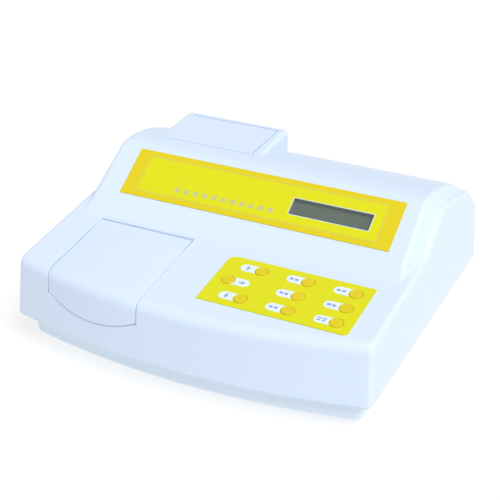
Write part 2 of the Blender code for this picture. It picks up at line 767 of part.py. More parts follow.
# ---------------------------------------------------------------- sample compartment
def make_sample_compartment():
    outer_low = up(POCKET_FLOOR - WALL)
    x0 = LID_X0 - GAP
    x1 = LID_X1 + GAP
    front = -DEPTH / 2
    liner = block("sample_compartment", (x0, front, outer_low),
                  (x1, back(POCKET_BACK), up(CREST_HEIGHT)), "black")
    boolean(liner, loft("liner_limit", case_stations(WALL + GAP), None, narrow=True), "INTERSECT")
    pocket = []
    for x in spread(x0 + POCKET_WALL, x1 - POCKET_WALL, 4):
        y = front_y(x, up(FRONT_HEIGHT)) + WALL + GAP + POCKET_WALL
        high = up(CREST_HEIGHT)
        rear = back(POCKET_BACK) - POCKET_WALL
        pocket.append((x, [(y, up(POCKET_FLOOR)), (rear, up(POCKET_FLOOR)), (rear, high), (y, high)]))
    cut(liner, loft("pocket", pocket, None))
    cut(liner, block("pocket_front", (x0 + POCKET_WALL, front, up(POCKET_LIP)),
                     (x1 - POCKET_WALL, back(0), up(CREST_HEIGHT)), None))
    centre = (CENTRE_X, back(WELL_Y), up(0))
    outer = WELL_RADIUS + WELL_WALL
    unite(liner, turned("well_body", centre, "Z",
                        [(outer, WELL_BOTTOM - WELL_WALL), (outer, POCKET_FLOOR - WALL / 2)], None, 20))
    cut(liner, turned("well_bore", centre, "Z",
                      [(WELL_RADIUS, WELL_BOTTOM), (WELL_RADIUS, POCKET_FLOOR + WALL)], None, 20))
    beam = (CENTRE_X, 0, up(BEAM_HEIGHT))
    cut(liner, turned("beam_window", beam, "Y",
                      [(BEAM_HOLE, back(WELL_Y)), (BEAM_HOLE, back(WELL_Y) + 2 * WELL_RADIUS)], None, 8))
    side = (0, back(WELL_Y), up(BEAM_HEIGHT))
    cut(liner, turned("detector_window", side, "X",
                      [(BEAM_HOLE, CENTRE_X), (BEAM_HOLE, CENTRE_X + 2 * WELL_RADIUS)], None, 8))


def make_optics():
    beam_z = up(BEAM_HEIGHT)
    well_back = back(WELL_Y) + WELL_RADIUS + WELL_WALL
    bay_front = back(BAY_FRONT)
    tube_start = well_back + GAP
    tube = turned("light_tube", (CENTRE_X, 0, beam_z), "Y",
                  [(TUBE_RADIUS, tube_start), (TUBE_RADIUS, bay_front - GAP)], "black", 12)
    bore = TUBE_RADIUS - TUBE_WALL
    cut(tube, turned("tube_bore", (CENTRE_X, 0, beam_z), "Y",
                     [(bore, tube_start - WALL), (bore, bay_front + WALL)], None, 12))
    rim = bore * cos(pi / 12) - GAP
    half = LENS_THICKNESS / 2
    turned("condenser_lens", (CENTRE_X, back(LENS_Y), beam_z), "Y",
           [(rim / 3, -half), (rim * 0.8, -half * 0.6), (rim, 0), (rim * 0.8, half * 0.6), (rim / 3, half)],
           "clear", 12)
    make_lamp_bay(beam_z)
    size = DETECTOR_SIZE
    x0 = CENTRE_X + WELL_RADIUS + WELL_WALL + GAP
    block("detector_block", (x0, back(WELL_Y) - size[1] / 2, beam_z - size[2] / 2),
          (x0 + size[0], back(WELL_Y) + size[1] / 2, beam_z + size[2] / 2), "black")


def make_lamp_bay(beam_z):
    low = FOOT_HEIGHT + BASE_FLOOR + GAP
    x0 = BOX_X0 + WALL + BAY_MARGIN
    x1 = BOX_X1 - WALL - BAY_MARGIN
    y0 = back(BAY_FRONT)
    y1 = back(BAY_BACK)
    bay = block("lamp_bay", (x0, y0, low), (x1, y1, up(BAY_TOP)), "black")
    cut(bay, block("bay_inside", (x0 + BAY_WALL, y0 + BAY_WALL, low + BAY_WALL),
                   (x1 - BAY_WALL, y1 - BAY_WALL, up(BAY_TOP) + WALL), None))
    cut(bay, turned("bay_window", (CENTRE_X, y0, beam_z), "Y",
                    [(BEAM_HOLE, -WALL), (BEAM_HOLE, 2 * WALL)], None, 8))
    floor = low + BAY_WALL + GAP
    bulb_low = beam_z - 2 * BULB_RADIUS
    lamp = (CENTRE_X, back(LAMP_Y), 0)
    turned("lamp_socket", lamp, "Z", [(SOCKET_RADIUS, floor), (SOCKET_RADIUS, bulb_low - GAP)],
           "clear", 14)
    turned("lamp_bulb", lamp, "Z",
           [(BULB_RADIUS * 0.6, bulb_low), (BULB_RADIUS, bulb_low + BULB_RADIUS),
            (BULB_RADIUS, beam_z + BULB_RADIUS), (BULB_RADIUS * 0.6, beam_z + 1.8 * BULB_RADIUS),
            (BULB_RADIUS * 0.15, beam_z + 2 * BULB_RADIUS)], "clear", 12)


# ---------------------------------------------------------------- display
def face_point(distance):
    """A point of the display face, by its distance up from the face's foot."""
    return (back(DISPLAY_FOOT) + distance * cos(DISPLAY_SLOPE),
            deck_height(DISPLAY_FOOT) + distance * sin(DISPLAY_SLOPE))


def make_display(shell):
    guide = plane_empty("display_plane", (LABEL_X, *face_point(LABEL_FOOT + LABEL_HEIGHT / 2)),
                        DISPLAY_SLOPE)
    half = (LABEL_WIDTH / 2, LABEL_HEIGHT / 2)
    label = block("display_label", (-half[0], -half[1], GAP), (half[0], half[1], GAP + LABEL_THICKNESS),
                  "yellow")
    x = WINDOW_X - LABEL_X
    y = WINDOW_UP - half[1]
    pane = (WINDOW_WIDTH / 2, WINDOW_HEIGHT / 2)
    top = GAP + LABEL_THICKNESS
    hole = block("window_hole", (x - pane[0] - GAP, y - pane[1] - GAP, -2 * WALL),
                 (x + pane[0] + GAP, y + pane[1] + GAP, 2 * WALL), None)
    window = block("lcd_window", (x - pane[0], y - pane[1], top - WINDOW_THICKNESS),
                   (x + pane[0], y + pane[1], top - GAP), "glass")
    behind = -WALL - GAP
    size = (pane[0] + MODULE_MARGIN, pane[1] + MODULE_MARGIN)
    module = block("lcd_module", (x - size[0], y - size[1], behind - MODULE_THICKNESS),
                   (x + size[0], y + size[1], behind), "lcd")
    rear = behind - MODULE_THICKNESS - GAP
    board = block("display_board", (x - size[0] - MODULE_MARGIN, y - size[1], rear - BOARD_THICKNESS),
                  (x + size[0] + MODULE_MARGIN, y + size[1], rear), "board")
    for item in (label, hole, window, module, board):
        on_plane(item, guide)
    cut(label, hole)
    cut(shell, hole)


# ---------------------------------------------------------------- keypad
def key_places():
    """(x, y) of the nine keys in the keypad's own frame, row by row from the back."""
    middle = ((PAD_X0 + PAD_X1) / 2, PAD_FRONT + PAD_LENGTH / 2)
    places = []
    for row, y in enumerate(KEY_ROWS):
        columns = (KEY_ODD_X,) + KEY_COLUMNS[1:] if row == 1 else KEY_COLUMNS
        places += [(x - middle[0], y - middle[1]) for x in columns]
    return places


def rounded_plate(name, half_x, half_y, radius, low, high, finish):
    ring = []
    for quarter, (sx, sy) in enumerate(((1, 1), (-1, 1), (-1, -1), (1, -1))):
        for step in range(4):
            angle = pi / 2 * (quarter + step / 3)
            ring.append((sx * (half_x - radius) + radius * cos(angle),
                         sy * (half_y - radius) + radius * sin(angle)))
    return skin(name, [[(x, y, z) for x, y in ring] for z in (low, high)], finish)


def make_keypad(shell):
    middle = PAD_FRONT + PAD_LENGTH / 2
    place = ((PAD_X0 + PAD_X1) / 2, back(middle), deck_height(middle))
    guide = plane_empty("deck_plane", place, DECK_SLOPE)
    half_x = (PAD_X1 - PAD_X0) / 2
    half_y = PAD_LENGTH / 2
    overlay = rounded_plate("keypad_overlay", half_x, half_y, PAD_CORNER, GAP,
                            GAP + OVERLAY_THICKNESS, "yellow")
    on_plane(overlay, guide)
    for number, (x, y) in enumerate(key_places(), 1):
        hole = KEY_RADIUS + KEY_CLEARANCE
        seat = KEY_RADIUS + KEY_FLANGE + KEY_CLEARANCE
        cut(overlay, on_plane(turned(f"key_hole_{number}", (x, y, 0), "Z",
                                     [(hole, -WALL), (hole, WALL)], None, 16), guide))
        cut(shell, on_plane(turned(f"key_seat_{number}", (x, y, 0), "Z",
                                   [(seat, -2 * WALL), (seat, WALL)], None, 12), guide))
        profile = [(KEY_STEM, -KEY_STEM_LENGTH), (KEY_STEM, -KEY_FLANGE_DEPTH),
                   (KEY_RADIUS + KEY_FLANGE, -KEY_FLANGE_DEPTH), (KEY_RADIUS + KEY_FLANGE, 0),
                   (KEY_RADIUS, 0), (KEY_RADIUS, KEY_HEIGHT * 0.75), (KEY_RADIUS * 0.85, KEY_HEIGHT)]
        key = turned(f"key_{number}", (0, 0, 0), "Z", profile, "orange", 16)
        key.location = (x, y, 0)
        on_plane(key, guide)
    low = -KEY_STEM_LENGTH - KEY_TRAVEL - GAP - BOARD_THICKNESS
    board = (half_x - KEY_BOARD_MARGIN, half_y - KEY_BOARD_MARGIN)
    on_plane(block("keypad_board", (-board[0], -board[1], low),
                   (board[0], board[1], low + BOARD_THICKNESS), "board"), guide)


# ---------------------------------------------------------------- boards and supply
def make_electronics():
    floor = FOOT_HEIGHT + BASE_FLOOR
    x, y = MAIN_BOARD_X, back(MAIN_BOARD_Y)
    low = floor + MAIN_BOARD_UP
    block("main_board", (x - MAIN_BOARD[0] / 2, y - MAIN_BOARD[1] / 2, low),
          (x + MAIN_BOARD[0] / 2, y + MAIN_BOARD[1] / 2, low + BOARD_THICKNESS), "board")
    size = TRANSFORMER_SIZE
    x, y = TRANSFORMER_X, back(TRANSFORMER_Y)
    block("transformer", (x - size[0] / 2, y - size[1] / 2, floor + GAP),
          (x + size[0] / 2, y + size[1] / 2, floor + GAP + size[2]), "copper")


def panel_middle():
    return up((PANEL_LOW + PANEL_HIGH) / 2)


def rear_box(name, x, size, y0, y1, finish, z=None):
    """A block that goes through or stands on the rear panel, centred on x and z."""
    z = panel_middle() if z is None else z
    return block(name, (x - size[0] / 2, y0, z - size[1] / 2), (x + size[0] / 2, y1, z + size[1] / 2),
                 finish)


def grown(size, amount):
    return tuple(side + 2 * amount for side in size)


def make_rear_panel(shell):
    centre = (PANEL_X0 + PANEL_X1) / 2
    size = (PANEL_X1 - PANEL_X0, PANEL_HIGH - PANEL_LOW)
    face = REAR_Y - WALL - GAP
    cut(shell, rear_box("panel_opening", centre, size, REAR_Y - 2 * WALL, REAR_Y + WALL, None))
    panel = rear_box("rear_panel", centre, grown(size, PANEL_MARGIN), face - PANEL_THICKNESS, face,
                     "panel")
    back_of_panel = face - PANEL_THICKNESS
    for name, x, opening in (("inlet_hole", INLET_X, INLET_SIZE), ("switch_hole", SWITCH_X, SWITCH_SIZE),
                             ("port_hole", PORT_X, PORT_SIZE)):
        cut(panel, rear_box(name, x, grown(opening, GAP), back_of_panel - WALL, REAR_Y + WALL, None))
    cut(panel, turned("fuse_hole", (FUSE_X, 0, panel_middle()), "Y",
                      [(FUSE_RADIUS + GAP, back_of_panel - WALL), (FUSE_RADIUS + GAP, REAR_Y + WALL)],
                      None, 14))
    for number in range(VENT_COUNT):
        x = VENT_X + (number - (VENT_COUNT - 1) / 2) * VENT_PITCH
        cut(panel, rear_box(f"vent_{number + 1}", x, (VENT_WIDTH, VENT_HEIGHT), back_of_panel - WALL,
                            REAR_Y + WALL, None))
    make_mains_inlet(face)
    make_switch(face)
    make_fuse(face)
    port = rear_box("signal_connector", PORT_X, PORT_SIZE, face - PORT_DEPTH, face, "steel")
    unite(port, rear_box("port_flange", PORT_X, PORT_FLANGE, face - PORT_DEPTH,
                         face - PANEL_THICKNESS - GAP, None))


def make_mains_inlet(face):
    inlet = rear_box("mains_inlet", INLET_X, INLET_SIZE, face - INLET_DEPTH - WALL, face, "black")
    unite(inlet, rear_box("inlet_rim", INLET_X, grown(INLET_SIZE, INLET_RIM),
                          face - PANEL_THICKNESS - GAP - WALL, face - PANEL_THICKNESS - GAP, None))
    cut(inlet, rear_box("inlet_pocket", INLET_X, INLET_POCKET, face - INLET_DEPTH, face + WALL, None))


def make_switch(face):
    body = rear_box("switch_body", SWITCH_X, SWITCH_SIZE, face - SWITCH_DEPTH, face, "black")
    cut(body, rear_box("switch_pocket", SWITCH_X, SWITCH_HOLE, face - SWITCH_DEPTH + WALL,
                       face + WALL, None))
    half = SWITCH_HOLE[1] / 2 - 3 * GAP
    width = SWITCH_HOLE[0] / 2 - 2 * GAP
    deep = ROCKER_THICKNESS / 2
    outline = [(-deep, -half), (-deep, half), (deep, half), (deep * 0.55, 0), (deep, -half)]
    shrink = cos(atan2(deep, half))
    outline = [(y * shrink, z * shrink) for y, z in outline]
    rocker = loft("power_rocker", [(-width, outline), (width, outline)], "black")
    rocker.location = (SWITCH_X, face - ROCKER_DEPTH, panel_middle())
    rocker.rotation_euler = (-ROCKER_TILT, 0, 0)


def make_fuse(face):
    centre = (FUSE_X, 0, panel_middle())
    holder = turned("fuse_holder", centre, "Y",
                    [(FUSE_RADIUS, face - FUSE_DEPTH - WALL), (FUSE_RADIUS, face)], "black", 14)
    cut(holder, turned("fuse_bore", centre, "Y",
                       [(FUSE_BORE, face - FUSE_DEPTH), (FUSE_BORE, face + WALL)], None, 14))
    stem = (FUSE_BORE - GAP) * cos(pi / 14)
    carrier = turned("fuse_carrier", centre, "Y",
                     [(stem, face - FUSE_DEPTH + WALL), (stem, face + GAP), (FUSE_CAP, face + GAP),
                      (FUSE_CAP, face + WALL / 2), (FUSE_CAP * 0.8, face + WALL)], "black", 14)
    set_origin(carrier, (FUSE_X, face, panel_middle()))


def main():
    clear_scene()
    shell = make_upper_shell()
    make_base_tray()
    make_feet_and_screws()
    make_sample_lid()
    make_light_pad()
    make_sample_compartment()
    make_rear_hatch()
    make_optics()
    make_display(shell)
    make_keypad(shell)
    make_electronics()
    make_rear_panel(shell)


main()
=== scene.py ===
"""Looks of a bench-top water tester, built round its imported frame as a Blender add-on.

Every piece is in metres in the frame's own axes: +X to the operator's right, +Y to the back, +Z up.
Sizes and places come from the frame's nodes; the case is skinned from the same side profiles as its solid.
"""

import json
from contextlib import contextmanager
from math import atan2, cos, pi, radians, sin, tan

import bmesh
import bpy
from bpy.props import FloatProperty, FloatVectorProperty, PointerProperty
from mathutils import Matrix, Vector
from mathutils.bvhtree import BVHTree


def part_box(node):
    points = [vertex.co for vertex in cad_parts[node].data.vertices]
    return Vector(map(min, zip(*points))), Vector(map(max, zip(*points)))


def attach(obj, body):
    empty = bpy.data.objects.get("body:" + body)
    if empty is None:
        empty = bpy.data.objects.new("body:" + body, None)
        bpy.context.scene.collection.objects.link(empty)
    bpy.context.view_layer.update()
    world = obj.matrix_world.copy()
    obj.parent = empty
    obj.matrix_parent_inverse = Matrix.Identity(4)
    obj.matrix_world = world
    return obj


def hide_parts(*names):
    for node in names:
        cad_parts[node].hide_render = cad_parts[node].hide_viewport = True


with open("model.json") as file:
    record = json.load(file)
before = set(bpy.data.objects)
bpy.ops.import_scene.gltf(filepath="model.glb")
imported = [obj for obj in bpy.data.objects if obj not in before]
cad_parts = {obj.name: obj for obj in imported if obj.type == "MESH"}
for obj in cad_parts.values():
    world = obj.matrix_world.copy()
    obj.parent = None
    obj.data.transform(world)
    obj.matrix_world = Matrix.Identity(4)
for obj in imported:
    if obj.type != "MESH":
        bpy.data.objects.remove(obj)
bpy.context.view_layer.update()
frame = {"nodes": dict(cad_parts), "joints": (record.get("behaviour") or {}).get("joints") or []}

bl_info = {
    "name": "Water tester",
    "version": (1, 0, 0),
    "blender": (4, 5, 0),
    "location": "View3D > Sidebar > Water tester",
    "description": "Makes the finished pieces of a bench-top water tester",
    "category": "Object",
}

# ---------------------------------------------------------------- the case's side profiles
HALF_WIDTH = 0.18075
FOOT_HEIGHT = 0.006
PARTING_Z = 0.0297
WALL = 0.003
GAP = 0.0003
FRONT_HEIGHT = 0.0600
FRONT_SAG = 0.0228
FRONT_DRAFT = 0.006
SIDE_DRAFT = 0.330
DECK_SLOPE = radians(5.8)
DISPLAY_SLOPE = radians(31.7)
DISPLAY_FOOT = 0.0974
CREST_RISE = 0.0551
CREST_RUN = 0.0364
CROWN_RUN = 0.0476
CROWN_SLOPE = radians(20.6)
REAR_RUN = 0.0391
REAR_SLOPE = radians(42.0)
EDGE_RADIUS = 0.0045
LIP_RADIUS = 0.0025
FRONT_RADIUS = 0.011
HUMP_FOOT_RADIUS = 0.052
CREST_RADIUS = 0.022
CROWN_RADIUS = 0.150
SHOULDER_RADIUS = 0.055
REAR_RADIUS = 0.008
CREST_HEIGHT = FRONT_HEIGHT + CREST_RISE
FACE_TOP = DISPLAY_FOOT + (CREST_RISE - DISPLAY_FOOT * tan(DECK_SLOPE)) / tan(DISPLAY_SLOPE)
CROWN_BACK = FACE_TOP + CREST_RUN
SHOULDER_BACK = CROWN_BACK + CROWN_RUN
FRONT_ANGLE = atan2(FRONT_HEIGHT, FRONT_DRAFT)
REAR_Y = (FRONT_SAG + FRONT_DRAFT + SHOULDER_BACK + REAR_RUN) / 2
CORNER_Y = -REAR_Y + FRONT_SAG + FRONT_DRAFT
HUMP_HALF_WIDTH = 0.1690
HUMP_END_RUN = 0.0068
HUMP_END_RADIUS = 0.0050
HUMP_END_TURN = radians(53)
HUMP_FADE = 0.012
SHOULDER_DROP = 0.0125
SHOULDER_SETBACK = 0.0200
SHOULDER_CROWN_SLOPE = radians(14.7)
BOX_X0, BOX_X1 = -0.1370, -0.0202
BOX_FRONT, BOX_BACK = CROWN_BACK - 0.027, CROWN_BACK + 0.0595
BOX_TOP = CREST_HEIGHT + 0.0012
BOX_TILT = radians(1.4)
BOX_RADIUS = 0.005
BASE_INSET = 0.0125
BASE_DRAFT = 0.0015
BASE_RADIUS = 0.005
BASE_FLOOR = 0.003

# ---------------------------------------------------------------- covers
LID_LIP_MIDDLE = 0.0245
LID_LIP_RISE = 0.012
LID_THICKNESS = 0.0029
LID_PROUD = 0.0003
LID_GAP = 0.0006
BARREL_RADIUS = 0.0049

# ---------------------------------------------------------------- modelling steps
ARC_STEPS = 3                       # times finer than the frame's own arcs
BODY_STATIONS = 14
POLE = 1e-6
MERGE = 2e-6
NEAR_ZERO = 0.0002
ON_SKIN = 0.00012


def up(height):
    """Height above the parting line, as a world height."""
    return PARTING_Z + height


def back(distance):
    """Distance behind the front corners, as a world Y."""
    return CORNER_Y + distance


def spread(low, high, count):
    return [low + (high - low) * step / count for step in range(count + 1)]


def between(p, q, share):
    return tuple(a + (b - a) * share for a, b in zip(p, q))


def eased(share):
    """A smooth step from zero to one."""
    share = min(1.0, max(0.0, share))
    return share * share * (3 - 2 * share)


def extent(node):
    """A node's lowest and highest corners, its middle, and its half width."""
    low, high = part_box(node)
    return low, high, (low + high) / 2, (high.x - low.x) / 2


def middle(node):
    return extent(node)[2]


# ---------------------------------------------------------------- outlines
def deck_height(distance):
    return up(FRONT_HEIGHT) + distance * tan(DECK_SLOPE)


def front_y(x, z):
    """The bowed and drafted front wall."""
    sag = FRONT_SAG * min(1.0, (x / HALF_WIDTH) ** 2)
    return -REAR_Y + sag + FRONT_DRAFT * (z - PARTING_Z) / FRONT_HEIGHT


def meet(p, a, q, b):
    """Where a line through p at angle a meets a line through q at angle b."""
    t = ((q[0] - p[0]) * sin(b) - (q[1] - p[1]) * cos(b)) / sin(b - a)
    return (p[0] + t * cos(a), p[1] + t * sin(a))


def turning(corners):
    """Each corner of an outline with the headings of the edges before and after it."""
    for i, (y, z, radius, steps) in enumerate(corners):
        before, after = corners[i - 1], corners[(i + 1) % len(corners)]
        yield (y, z, radius, steps, atan2(z - before[1], y - before[0]),
               atan2(after[1] - z, after[0] - y))


def inset(corners, amount):
    """Move every edge of an outline inwards and adapt the corner radii."""
    moved = []
    for y, z, radius, steps, a, b in turning(corners):
        p = (y + amount * sin(a), z - amount * cos(a))
        q = (y + amount * sin(b), z - amount * cos(b))
        new_radius = radius - amount if sin(b - a) < 0 else radius + amount
        moved.append((*meet(p, a, q, b), max(NEAR_ZERO, new_radius), steps))
    return moved


def rounded(corners):
    """Points of an outline whose corners are arcs."""
    points = []
    for y, z, radius, steps, a, b in turning(corners):
        turn = (b - a + pi) % (2 * pi) - pi
        side = 1 if turn > 0 else -1
        reach = radius * tan(abs(turn) / 2)
        start = (y - reach * cos(a), z - reach * sin(a))
        centre = (start[0] - side * radius * sin(a), start[1] + side * radius * cos(a))
        for angle in spread(a - side * pi / 2, a + turn - side * pi / 2, steps):
            points.append((centre[0] + radius * cos(angle), centre[1] + radius * sin(angle)))
    return points


def hump_corners(x):
    """Side profile over the display hump, from the front lip to the rear lip."""
    low = up(0.0)
    deck = (back(0.0), deck_height(0.0))
    front_top = meet((front_y(x, low), low), FRONT_ANGLE, deck, DECK_SLOPE)
    foot = (back(DISPLAY_FOOT), deck_height(DISPLAY_FOOT))
    crest = up(CREST_HEIGHT)
    face_top = meet(foot, DISPLAY_SLOPE, (0.0, crest), 0.0)
    run = SHOULDER_BACK - CROWN_BACK
    shoulder = (back(SHOULDER_BACK), crest - run * tan(CROWN_SLOPE))
    rear_top = meet(shoulder, -REAR_SLOPE, (REAR_Y, low), pi / 2)
    return [
        (front_y(x, low), low, LIP_RADIUS, 2 * ARC_STEPS),
        (*front_top, FRONT_RADIUS, 4 * ARC_STEPS),
        (*foot, HUMP_FOOT_RADIUS, 4 * ARC_STEPS),
        (*face_top, CREST_RADIUS, 4 * ARC_STEPS),
        (back(CROWN_BACK), crest, CROWN_RADIUS, 4 * ARC_STEPS),
        (*shoulder, SHOULDER_RADIUS, 3 * ARC_STEPS),
        (*rear_top, REAR_RADIUS, 3 * ARC_STEPS),
        (REAR_Y, low, LIP_RADIUS, 2 * ARC_STEPS),
    ]


def shoulder_corners(x):
    """The lower profile beside the hump, which keeps the deck, the rear slope and both walls."""
    hump = hump_corners(x)
    foot = (back(DISPLAY_FOOT), deck_height(DISPLAY_FOOT) - SHOULDER_SETBACK)
    lower_foot = meet(foot, DISPLAY_SLOPE, (back(0.0), deck_height(0.0)), DECK_SLOPE)
    crest = up(CREST_HEIGHT) - SHOULDER_DROP
    face_top = meet(foot, DISPLAY_SLOPE, (0.0, crest), 0.0)
    crown = (back(CROWN_BACK), crest)
    rear_top = hump[6]
    shoulder = meet(crown, -SHOULDER_CROWN_SLOPE, rear_top[:2], -REAR_SLOPE)
    return [
        hump[0],
        hump[1],
        (*lower_foot, HUMP_FOOT_RADIUS / 2, 4 * ARC_STEPS),
        (*face_top, CREST_RADIUS, 4 * ARC_STEPS),
        (*crown, CROWN_RADIUS / 2, 4 * ARC_STEPS),
        (*shoulder, SHOULDER_RADIUS / 2, 3 * ARC_STEPS),
        rear_top,
        hump[7],
    ]


def outline(corners, x, amount):
    return rounded(inset(corners(x), amount))


def hump_outline(x, depth, drawn_in):
    """The hump's profile drawn in over the hump alone, and not along the deck or down the walls."""
    pairs = zip(outline(hump_corners, x, depth), outline(hump_corners, x, depth + drawn_in))
    return [between(p, q, eased((p[1] - deck_height(p[0] - CORNER_Y)) / HUMP_FADE)) for p, q in pairs]


def case_stations(depth):
    """(x, outline) stations of the case, moved inwards everywhere by depth."""
    crease = HUMP_HALF_WIDTH - depth
    ledge = HUMP_HALF_WIDTH + HUMP_END_RUN - depth
    flat = crease - HUMP_END_RADIUS
    half = [(x, outline(hump_corners, x, depth)) for x in spread(0, flat, BODY_STATIONS)]
    for turn in spread(0, HUMP_END_TURN, 6)[1:]:
        x = flat + HUMP_END_RADIUS * sin(turn) / sin(HUMP_END_TURN)
        half.append((x, hump_outline(x, depth, HUMP_END_RADIUS * (1 - cos(turn)))))
    top = half[-1]
    foot = (ledge, outline(shoulder_corners, ledge, depth))
    half += [station_between(top, foot, share) for share in (0.25, 0.5, 0.7, 0.82)]
    turns = spread(pi / 20, pi / 2, 9) if depth < EDGE_RADIUS / 3 else [pi / 2]
    radius = EDGE_RADIUS if depth < EDGE_RADIUS / 3 else 0.0
    edge = []
    for turn in turns:
        x = HALF_WIDTH - depth - radius + radius * sin(turn)
        edge.append((x, outline(shoulder_corners, x, depth + radius * (1 - cos(turn)))))
    if radius:
        half += soft_corner(half[-1], foot, edge[0])
    else:
        half.append(foot)
    half += edge
    return [(-x, points) for x, points in reversed(half[1:])] + half


def station_between(first, last, share):
    x = first[0] + (last[0] - first[0]) * share
    return (x, [between(p, q, share) for p, q in zip(first[1], last[1])])


def soft_corner(before, corner, after):
    """Three stations on a curve that cuts the corner between two runs."""
    made = []
    for share in (0.25, 0.5, 0.75):
        first = station_between(before, corner, share)
        last = station_between(corner, after, share)
        made.append(station_between(first, last, share))
    return made


def drafted(x, z):
    """The side draft narrows the case towards the top."""
    return x * (1 - SIDE_DRAFT * (z - PARTING_Z))


def box_stations(depth):
    """The raised box, with rounded ends."""
    top = up(BOX_TOP)
    low = up(BOX_TOP / 2) + depth
    front_drop = (BOX_BACK - BOX_FRONT) * tan(BOX_TILT)
    corners = [
        (back(BOX_FRONT), low, NEAR_ZERO, 1),
        (back(BOX_FRONT), top - front_drop, NEAR_ZERO, 1),
        (back(BOX_BACK), top, BOX_RADIUS, 4 * ARC_STEPS),
        (back(BOX_BACK), low, NEAR_ZERO, 1),
    ]
    ends = [(BOX_X0 + depth, depth), (BOX_X1 - depth, depth)]
    if depth == 0:
        turns = spread(pi / 2, 0, 3 * ARC_STEPS)
        reach = [(BOX_RADIUS * (1 - sin(turn)), BOX_RADIUS * (1 - cos(turn))) for turn in turns]
        ends = [(BOX_X0 + run, drop) for run, drop in reach]
        ends += [(BOX_X1 - run, drop) for run, drop in reversed(reach)]
    return [(x, rounded(inset(corners, amount))) for x, amount in ends]


def base_stations(depth, low, high):
    """Sections of the base tray; the front follows the shell's bow."""
    half_width = HALF_WIDTH - BASE_INSET
    reach = half_width - BASE_RADIUS
    stations = [(x, depth) for x in spread(0, reach, 10)]
    if depth > 0:
        stations.append((half_width - depth, depth))
    else:
        for turn in spread(0, pi / 2, 3 * ARC_STEPS)[1:]:
            stations.append((reach + BASE_RADIUS * sin(turn), BASE_RADIUS * (1 - cos(turn))))
    mirrored = [(-x, amount) for x, amount in reversed(stations[1:])]
    result = []
    for x, amount in mirrored + stations:
        front = front_y(x, PARTING_Z) + BASE_INSET + amount
        rear = REAR_Y - BASE_INSET - amount
        radius = max(NEAR_ZERO, BASE_RADIUS - amount)
        bottom = low + (amount if depth == 0 else 0.0)
        corners = [(front + BASE_DRAFT, bottom, radius, 3 * ARC_STEPS), (front, high, NEAR_ZERO, 1),
                   (rear, high, NEAR_ZERO, 1), (rear - BASE_DRAFT, bottom, radius, 3 * ARC_STEPS)]
        result.append((x, rounded(corners)))
    return result


# ---------------------------------------------------------------- shader arithmetic
class Signal:
    """A shader socket that takes part in plain arithmetic; each operation adds its Math node."""

    def __init__(self, finish, socket):
        self.finish = finish
        self.socket = socket

    def math(self, operation, first, second=0.0):
        node = self.finish.node("ShaderNodeMath", {"operation": operation}, {0: first, 1: second})
        return Signal(self.finish, node.outputs[0])

    def __add__(self, other):
        return self.math("ADD", self, other)

    def __sub__(self, other):
        return self.math("SUBTRACT", self, other)

    def __rsub__(self, other):
        return self.math("SUBTRACT", other, self)

    def __mul__(self, other):
        return self.math("MULTIPLY", self, other)

    def __lt__(self, other):
        return self.math("LESS_THAN", self, other)

    def __gt__(self, other):
        return self.math("GREATER_THAN", self, other)

    def __abs__(self):
        return self.math("ABSOLUTE", self)

    def repeat(self, length):
        return self.math("PINGPONG", self, length)

    __radd__ = __add__
    __rmul__ = __mul__


